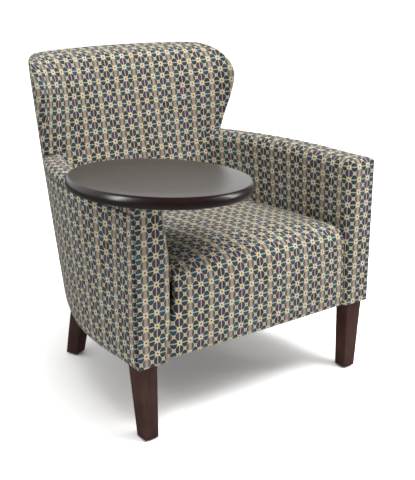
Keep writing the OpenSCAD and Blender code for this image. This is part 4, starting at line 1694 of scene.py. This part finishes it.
    def _ring(self, z: float, f: float, section: tuple[list[Vector], list[Vector], list[float]],
              rise: list[float], crest: list[float]) -> list[Knot]:
        """Return the ring of one section, with its cloth.

        Args:
            z: Height.
            f: Share of the full thickness.
            section: Inner points, outer points and stations.
            rise: Places up the cloth of the inner points.
            crest: Places up the cloth of the points on the crest of the roll.

        Returns:
            The closed ring.
        """
        inner, outer, stations = section
        across = self._across(inner)
        round_tip = self._round_tips(outer, across)
        if z > self.hook_z:
            flat = self._across(outer)
            round_tip = [u if t < self.seam else o for u, o, t in zip(round_tip, flat, stations)]
        u0, v0 = self.phase
        last = len(inner) - 1
        front, behind = [], []
        for i, (p, q, t) in enumerate(zip(inner, outer, stations)):
            hidden = z < self.seat_z or (z < self.wing_z and min(i, last - i) < self.side_points)
            front.append(knot(p, (across[i] + u0, rise[i] + v0), hidden))
            v = self._rise(q) if f == 1.0 else rise[i]
            if t >= self.seam and z > self.hook_z:
                v = 2 * crest[i] - rise[i]
            wing = t < self.seam and z >= self.wing_z
            held = (not wing and z <= self.hook_z) or t > self.seam - self.seam_hold
            behind.append(knot(q, (round_tip[i] + u0, v + v0), held))
        return front + behind[::-1]

    @staticmethod
    def _rise(p: Vector) -> float:
        """Return a point's place up the cloth, whose rows lie square to the leaning back, in millimetres."""
        a = math.radians(WALL.rake)
        return (p.y * math.sin(a) + p.z * math.cos(a)) / MM

    @staticmethod
    def _across(chain: list[Vector]) -> list[float]:
        """Measure along a chain of points from its middle.

        Args:
            chain: The points, in metres.

        Returns:
            The distance of each point, in millimetres.
        """
        run = [0.0]
        for p, q in zip(chain, chain[1:]):
            run.append(run[-1] + (q - p).length / MM)
        middle = run[len(run) // 2]
        return [r - middle for r in run]

    @staticmethod
    def _round_tips(chain: list[Vector], across: list[float]) -> list[float]:
        """Carry the cloth on round the wings' tips and back along the outer chain.

        Args:
            chain: The outer points, from the left tip to the right one.
            across: Places on the cloth of the inner points.

        Returns:
            The places on the cloth of the outer points.
        """
        out = [0.0] * len(chain)
        half = len(chain) // 2
        left, right = across[0], across[-1]
        for i in range(half + 1):
            if i:
                left -= (chain[i] - chain[i - 1]).length / MM
                right += (chain[-1 - i] - chain[-i]).length / MM
            out[i], out[-1 - i] = left, right
        return out


@dataclass
class OutsidePanel:
    """Cloth stretched over a thin board on the outside of the wall, rolled under at its lower edge."""

    cloth: bpy.types.Material
    name: str
    node: str
    start: float = 0.058
    end: float = 2.498
    wing: float = 1.94
    mirrored: bool = False
    thick: float = 7.0
    roll_h: float = 40.0
    roll_d: float = 6.0
    arm_z: float = 577.6
    hook_z: float = 834.5
    edge_r: float = 3.0
    crown: float = 1.2
    step: float = 14.0
    rows: int = 46
    gap: float = 0.004
    edge_mid: float = 0.3
    crowding: float = 0.6
    stuffing: Stuffing = Stuffing(fill=1.0)

    def build(self) -> bpy.types.Object:
        """Build and dress the panel.

        Returns:
            The finished piece.
        """
        piece = Cover(self.name).tube([self._ring(t, f) for t, f in self._stations()], self.cloth)
        return finish_cover(piece, [self.node])

    def _stations(self) -> list[Spot]:
        """Work out where the rings stand.

        Returns:
            Their stations, and how far each is set in by the rounded end.
        """
        ts: list[float] = []
        if self.wing > self.start:
            ts += WALL.stations(self.start, self.wing - self.gap, self.step)
        left = WALL.stations(max(self.wing, self.start), min(self.end, WALL.middle), self.step)
        ts += left
        if self.end > WALL.middle:
            ts += [2 * WALL.middle - t for t in reversed(left[:-1])]
        unit = self.edge_r / WALL.side_r * math.degrees(1) / WALL.side_turn
        first, last = ts[0], ts[-1]
        mid = self.edge_mid
        head = [(first, 1.0), (first + mid * unit, mid), (first + unit, 0.0)]
        tail = [(last - unit, 0.0), (last - mid * unit, mid), (last, 1.0)]
        return head + [(t, 0.0) for t in ts[1:-1]] + tail

    def _ring(self, t: float, end: float) -> list[Knot]:
        """Return the panel's section at a station.

        Args:
            t: Station.
            end: How far the section is set in at the panel's rounded end, as a share of the edge radius.

        Returns:
            The closed ring: the outer face upward, then the back downward.
        """
        top = WALL.arched(t, self.hook_z) if WALL.near(t) >= self.wing else self.arm_z
        heights = [self._height(k, top) for k in range(self.rows)]
        outer, inner = [], []
        for z in heights:
            h = z - WALL.base
            d = self.roll_d * max(0.0, 1 - h / self.roll_h) ** 2
            edge = max(0.0, 1 - (top - z) / self.edge_r)
            d += self.edge_r * (1 - math.sqrt(max(0.0, 1 - edge * edge))) + self.edge_r * end
            d -= self.crown * math.sin(math.pi * min(1.0, h / (top - WALL.base))) * (1 - end)
            cloth = WALL.outside_cloth(t, z)
            outer.append(knot(self._at(t, z, d), cloth))
            inner.append(knot(self._at(t, z, self.thick), cloth))
        return outer + inner[::-1]

    def _height(self, k: int, top: float) -> float:
        """Return the height of a row, with rows closer together at the lower and upper edges.

        Args:
            k: The row's number.
            top: Height of the panel's top.

        Returns:
            The height.
        """
        f = k / (self.rows - 1)
        f = mix(f, 0.5 - 0.5 * math.cos(math.pi * f), self.crowding)
        return mix(WALL.base, top, f)

    def _at(self, t: float, z: float, d: float) -> Vector:
        """Return a point of the panel, in metres."""
        p = WALL.point(t, z, d)
        return mirror(p) if self.mirrored else p


@dataclass
class Legs:
    """Four tapered square legs with eased edges."""

    wood: bpy.types.Material
    ease: float = 1.6
    crease: float = 25.0
    merge: float = 0.01
    flat_turn: float = 2.0
    edge_turn: float = 40.0
    edge_length: float = 20.0
    nodes: tuple[str, ...] = ("front_leg_left", "front_leg_right", "rear_leg_left", "rear_leg_right")

    def build(self, frame: dict) -> list[bpy.types.Object]:
        """Build every leg over its solid.

        Args:
            frame: The loaded frame.

        Returns:
            The four pieces.
        """
        return [self._leg(frame["nodes"][node], node) for node in self.nodes]

    def _leg(self, solid: bpy.types.Object, node: str) -> bpy.types.Object:
        """Copy a leg's solid, ease its edges and dress it.

        Args:
            solid: The leg's solid.
            node: Its name.

        Returns:
            The finished piece.
        """
        shell = bmesh.new()
        shell.from_mesh(solid.data)
        bmesh.ops.remove_doubles(shell, verts=shell.verts, dist=self.merge * MM)
        bmesh.ops.dissolve_limit(shell, angle_limit=math.radians(self.flat_turn), verts=shell.verts,
                                 edges=shell.edges)
        turn, length = math.radians(self.edge_turn), self.edge_length * MM
        sharp = [e for e in shell.edges if len(e.link_faces) == 2 and e.calc_face_angle() > turn
                 and e.calc_length() > length]
        bmesh.ops.bevel(shell, geom=sharp, offset=self.ease * MM, segments=3, profile=0.5, affect="EDGES")
        piece = shaped(node + "_eased", shell, self.wood, self.crease)
        declare(piece, Body.CHAIR, [node])
        return piece


@dataclass
class Tablet:
    """Round writing tablet with a flat top and a bullnose edge, on its leaning pivot."""

    wood: bpy.types.Material
    radius: float = 221.0
    thick: float = 29.0
    nose_d: float = 12.0
    nose_z: float = 13.0
    nose_end: float = 60.0
    arris: float = 1.4
    flat_in: float = 60.0
    under_in: float = 1.0
    lift: float = 6.5
    tilt: float = 3.1
    off: Spot = (99.5, -43.0)
    pivot: Point = (-352.3, -230.076, 604.0)
    segments: int = 144
    nose_steps: int = 24
    crease: float = 35.0

    def build(self) -> bpy.types.Object:
        """Turn the tablet's profile and set it on the pivot.

        Returns:
            The finished piece.
        """
        shell = bmesh.new()
        place = Matrix.Translation(Vector(self.pivot)) @ Matrix.Rotation(math.radians(self.tilt), 4, "Y")
        place = place @ Matrix.Translation((self.off[0], self.off[1], self.lift))
        rings = []
        for r, z in self._profile():
            ring = []
            for i in range(self.segments):
                a = 2 * math.pi * i / self.segments
                ring.append(shell.verts.new((place @ Vector((r * math.cos(a), r * math.sin(a), z))) * MM))
            rings.append(ring)
        for a, b in zip(rings, rings[1:]):
            for i in range(self.segments):
                k = (i + 1) % self.segments
                shell.faces.new((a[i], a[k], b[k], b[i]))
        shell.faces.new(reversed(rings[0]))
        shell.faces.new(rings[-1])
        bmesh.ops.recalc_face_normals(shell, faces=shell.faces)
        piece = shaped("writing_tablet", shell, self.wood, self.crease)
        declare(piece, Body.TABLET, ["tablet_top"])
        return piece

    def _profile(self) -> list[Spot]:
        """Work out the section.

        Returns:
            Radius and height of its points, from the underside round the edge to the top.
        """
        out = [(self.radius - self.flat_in, 0.0), (self.radius - self.nose_d - self.under_in, 0.0)]
        rise = (self.thick - self.arris - self.nose_z) / math.sin(math.radians(self.nose_end))
        for k in range(self.nose_steps + 1):
            b = math.radians(mix(-90.0, self.nose_end, k / self.nose_steps))
            half = rise if b > 0 else self.nose_z
            out.append((self.radius - self.nose_d * (1 - math.cos(b)), self.nose_z + half * math.sin(b)))
        # The arris is eased in three steps, given as shares of its size inward and down
        edge = out[-1][0]
        for inward, down in ((0.55, 0.42), (1.3, 0.1), (2.2, 0.0)):
            out.append((edge - inward * self.arris, self.thick - down * self.arris))
        return out + [(self.radius - self.flat_in, self.thick)]


@dataclass
class HiddenParts:
    """Frame, suspension and swivel fittings: their solids stay and get a finish."""

    frame_wood: tuple[str, ...] = (
        "front_rail", "rear_rail", "side_rail_left", "side_rail_right", "corner_blocks", "front_post_left",
        "front_post_right", "back_post_left", "back_post_right", "arm_board_left", "arm_board_right",
        "wing_board_left", "wing_board_right", "back_top_rail", "back_lower_rail")
    steel: tuple[str, ...] = (
        "leg_plates", "leg_bolts", "seat_springs", "spring_clips", "pivot_socket", "socket_screws",
        "pivot_shaft", "shaft_collar", "tablet_plate", "plate_screws")
    nylon: tuple[str, ...] = ("pivot_bush_upper", "pivot_bush_lower", "thrust_washer")
    glides: tuple[str, ...] = ("leg_glides",)
    straps: tuple[str, ...] = ("back_webbing",)

    def dress(self, frame: dict) -> None:
        """Give every hidden solid its finish.

        Args:
            frame: The loaded frame.
        """
        sets = ((self.frame_wood, FRAME_WOOD), (self.steel, ZINC_STEEL), (self.nylon, NYLON),
                (self.glides, GLIDE), (self.straps, STRAP))
        for names, finish in sets:
            material = finish.build()
            for name in names:
                self._assign(frame["nodes"][name], material)
            LOG.info("%s on %d solids", finish.name, len(names))

    @staticmethod
    def _assign(solid: bpy.types.Object, material: bpy.types.Material) -> None:
        """Put a material in every slot of a solid.

        Args:
            solid: The solid.
            material: Its finish.
        """
        if not solid.material_slots:
            solid.data.materials.append(material)
        for slot in solid.material_slots:
            slot.material = material


@dataclass
class UnderCloth:
    """Thin black cloth stapled under the frame, slack by a few millimetres."""

    cloth: bpy.types.Material
    hem: float = 21.0
    front: float = 52.0
    height: float = 202.4
    sag: float = 2.4
    leg_cut: float = 35.0
    grid: float = 14.0
    columns: int = 40
    rear_gap: float = 0.5

    def build(self) -> bpy.types.Object:
        """Cut, sag and dress the cloth.

        Returns:
            The finished piece.
        """
        stations = WALL.stations(WALL.station(self.front), WALL.middle, self.grid)
        edge = [WALL.place(t, WALL.base, self.hem) for t in stations]
        low, high = edge[0][1], edge[-1][1]
        shell = bmesh.new()
        rows = math.ceil((high - low) / self.grid)
        points = []
        for i in range(rows + 1):
            y = mix(low, high - self.rear_gap, i / rows)
            half, f = self._half_width(edge, y), (y - low) / (high - low)
            across = [half * (2 * j / self.columns - 1) for j in range(self.columns + 1)]
            points.append([self._vertex(shell, x, y, half, f) for x in across])
        for a, b in zip(points, points[1:]):
            for j in range(self.columns):
                shell.faces.new((a[j], b[j], b[j + 1], a[j + 1]))
        self._cut_legs(shell)
        piece = shaped("under_cloth", shell, self.cloth)
        declare(piece, Body.CHAIR, ["dust_cover"])
        return piece

    @staticmethod
    def _half_width(edge: list[Point], y: float) -> float:
        """Return half of the cloth's width at a place from front to rear.

        Args:
            edge: Points of the cloth's left edge.
            y: The place.

        Returns:
            The half width.
        """
        for p, q in zip(edge, edge[1:]):
            if p[1] <= y <= q[1] and q[1] > p[1]:
                return -mix(p[0], q[0], (y - p[1]) / (q[1] - p[1]))
        return 1.0

    def _vertex(self, shell: bmesh.types.BMesh, x: float, y: float, half: float,
                f: float) -> bmesh.types.BMVert:
        """Add a point of the slack cloth and return it."""
        slack = self.sag * (1 - (x / max(half, 1.0)) ** 2) * math.sin(math.pi * min(1.0, max(0.0, f)))
        return shell.verts.new(Vector((x, y, self.height - slack)) * MM)

    def _cut_legs(self, shell: bmesh.types.BMesh) -> None:
        """Cut the cloth away round the legs.

        Args:
            shell: The cloth, changed in place.
        """
        boxes = [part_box(node) for node in Legs.nodes]
        legs = [((low.x + high.x) / 2, (low.y + high.y) / 2) for low, high in boxes]
        clear = self.leg_cut * MM
        gone = []
        for face in shell.faces:
            x, y, _ = face.calc_center_median()
            if any(abs(x - leg_x) < clear and abs(y - leg_y) < clear for leg_x, leg_y in legs):
                gone.append(face)
        bmesh.ops.delete(shell, geom=gone, context="FACES")


@dataclass(frozen=True)
class Lamp:
    """One soft lamp: its place, aim and size in metres, its power in watts, and what sees it."""

    name: str
    at: Point
    aim: Point
    size: Spot
    power: float
    reflected: bool = True
    lights: bool = True

    def hang(self) -> None:
        """Make the lamp and turn it to its aim."""
        light = bpy.data.lights.new(self.name, "AREA")
        light.shape = "RECTANGLE"
        light.size, light.size_y = self.size
        light.energy = self.power
        lamp = new_object(self.name, light)
        lamp.location = self.at
        lamp.visible_glossy = self.reflected
        lamp.visible_diffuse = self.lights
        lamp.rotation_euler = (Vector(self.aim) - Vector(self.at)).to_track_quat("-Z", "Y").to_euler()


TABLET_AIM = (-0.25, -0.27, 0.6)


@dataclass
class Studio:
    """White studio, in metres: a floor that keeps the shadow, soft lamps and the camera."""

    eye: Point = (-1.3966, -1.9751, 1.1386)
    azimuth: float = -37.0
    elevation: float = 17.892
    lens: float = 67.69
    floor_half: float = 30.0
    floor_tones: tuple[str, str] = ("#fbfbfb", "#f8f8f8")
    floor_gain: float = 2.35
    far_glow: float = 0.5
    far: Spot = (1.0, 2.6)
    dark: Spot = (0.78, 0.88)
    dark_y: Spot = (-0.9, -1.4)
    room_light: float = 0.39
    lamps: tuple[Lamp, ...] = (
        Lamp("overhead_lamp", (0.0, -0.6, 3.0), (0.0, 0.0, 0.4), (2.8, 2.8), 42.0, reflected=False),
        Lamp("front_lamp", (1.2, -1.8, 3.25), (0.0, 0.0, 0.5), (1.4, 1.4), 45.0, reflected=False),
        Lamp("left_lamp", (-2.2, -0.45, 1.9), TABLET_AIM, (0.5, 0.3), 3.5),
        Lamp("left_strip", (-2.2, -0.45, 1.6), TABLET_AIM, (0.45, 1.7), 30.0, lights=False),
        Lamp("right_lamp", (2.0, -1.5, 1.5), TABLET_AIM, (0.5, 0.3), 4.5),
        Lamp("right_strip", (2.0, -1.5, 1.5), TABLET_AIM, (0.4, 1.6), 27.0, lights=False))

    def build(self) -> None:
        """Make the floor, the surroundings, the lamps and the camera."""
        self._floor()
        self._surroundings()
        for lamp in self.lamps:
            lamp.hang()
        self._camera()

    def _floor(self) -> None:
        """Lay the floor, which shows white beside the shadow to the camera."""
        mesh = bpy.data.meshes.new("studio_floor")
        s = self.floor_half
        mesh.from_pydata([(-s, -s, 0), (s, -s, 0), (s, s, 0), (-s, s, 0)], [], [(0, 1, 2, 3)])
        # Seamless paper: matt and white, mottled by less than the eye sees
        material, tree = new_material("white_paper_floor")
        place = add(tree, "TexCoord").outputs["Object"]
        path = add(tree, "LightPath").outputs
        camera, glossy = path["Is Camera Ray"], path["Is Glossy Ray"]
        mottle = add(tree, "TexNoise", {"Vector": place, "Scale": 3.0})
        tone = add(tree, "Mix", {0: mottle, 6: self.floor_tones[0], 7: self.floor_tones[1]}, data_type="RGBA")
        seen = add(tree, "MapRange", {"Value": camera, "To Min": 1.0, "To Max": self.floor_gain})
        # The studio ends in the dark behind the camera, and only reflections see that
        _, y, _ = add(tree, "SeparateXYZ", {0: place}).outputs
        dark = add(tree, "MapRange", {
            "Value": y, "From Min": self.dark_y[0], "From Max": self.dark_y[1], "To Min": self.dark[0],
            "To Max": self.dark[1]}, interpolation_type="SMOOTHSTEP")
        dark = add(tree, "Math", {0: dark, 1: glossy}, operation="MULTIPLY")
        pale = add(tree, "Math", {0: 1.0, 1: dark}, operation="SUBTRACT")
        level = add(tree, "Math", {0: seen, 1: pale}, operation="MULTIPLY")
        tone = add(tree, "Mix", {0: 1.0, 6: tone.outputs[2], 7: level}, data_type="RGBA",
                   blend_type="MULTIPLY")
        paper = add(tree, "BsdfDiffuse", {"Color": tone.outputs[2]})
        away = add(tree, "VectorMath", {0: place}, operation="LENGTH").outputs["Value"]
        far = add(tree, "MapRange", {"Value": away, "From Min": self.far[0], "From Max": self.far[1],
                                     "To Max": self.far_glow}, interpolation_type="SMOOTHSTEP")
        share = add(tree, "Math", {0: far, 1: camera}, operation="MULTIPLY")
        glow = add(tree, "Emission", {"Color": "#ffffff", "Strength": share})
        both = add(tree, "AddShader", {0: paper, 1: glow})
        add(tree, "OutputMaterial", {"Surface": both})
        mesh.materials.append(material)
        new_object("studio_floor", mesh)

    def _surroundings(self) -> None:
        """Light the scene evenly from all round, and show white to the camera and a room to reflections."""
        world = bpy.data.worlds.new("studio")
        bpy.context.scene.world = world
        world.use_nodes = True
        tree = world.node_tree
        tree.nodes.clear()
        path = add(tree, "LightPath").outputs
        x, y, _ = add(tree, "SeparateXYZ", {0: add(tree, "TexCoord").outputs["Generated"]}).outputs
        # The room is dark in front of the chair and white behind it, a little more so to the right
        room = add(tree, "MapRange", {"Value": y, "From Min": 0.25, "From Max": 0.65, "To Min": 0.05,
                                      "To Max": 1.0}, interpolation_type="SMOOTHSTEP")
        side = add(tree, "MapRange", {"Value": x, "From Min": 0.3, "From Max": 0.8, "To Min": 1.0,
                                      "To Max": 1.12})
        room = add(tree, "Math", {0: room, 1: side}, operation="MULTIPLY")
        level = add(tree, "Mix", {0: path["Is Glossy Ray"], 2: self.room_light, 3: room})
        strength = add(tree, "Mix", {0: path["Is Camera Ray"], 2: level, 3: 1.0})
        sky = add(tree, "Background", {"Color": "#ffffff", "Strength": strength})
        add(tree, "OutputWorld", {"Surface": sky})

    def _camera(self) -> None:
        """Set the camera where the photograph was taken from."""
        a, e = math.radians(self.azimuth), math.radians(self.elevation)
        back = Vector((math.sin(a) * math.cos(e), -math.cos(a) * math.cos(e), math.sin(e)))
        right = Vector((math.cos(a), math.sin(a), 0.0))
        data = bpy.data.cameras.new("camera")
        data.lens = self.lens
        data.sensor_width = 36.0
        camera = new_object("camera", data)
        turn = Matrix((right, back.cross(right), back)).transposed()
        camera.matrix_world = Matrix.Translation(self.eye) @ turn.to_4x4()
        bpy.context.scene.camera = camera


def main() -> None:
    """Build the studio, dress the chair piece by piece and report each one."""
    logging.basicConfig(level=logging.INFO, format="%(name)s: %(message)s")
    bpy.context.scene.view_settings.view_transform = "Standard"
    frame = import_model()
    Studio().build()
    cloth = StarJacquard().build()
    leg_wood = StainedBeech().build()
    tablet_wood = StainedBeech("espresso_stained_beech_top", "#2c1a16", "#1a0f0d", axis=0, coat=0.4,
                               coat_roughness=0.26, relief=0.015).build()
    HiddenParts().dress(frame)
    pieces = [
        Seat(cloth).build(),
        Arm(cloth, Side.LEFT).build(),
        Arm(cloth, Side.RIGHT, top=610.0, top_r=22.0).build(),
        InsideBack(cloth).build(),
        OutsidePanel(cloth, "outside_arm_cover_left", "outside_arm_left").build(),
        OutsidePanel(cloth, "outside_arm_cover_right", "outside_arm_right", mirrored=True).build(),
        OutsidePanel(cloth, "outside_back_cover", "outside_back", start=2.502, end=5.498, wing=2.5).build(),
        Tablet(tablet_wood).build(),
        UnderCloth(UNDER_CLOTH.build()).build(),
    ]
    pieces += Legs(leg_wood).build(frame)
    for piece in pieces:
        LOG.info("%s: %d faces", piece.name, len(piece.data.polygons))


if __name__ == "__main__":
    main()
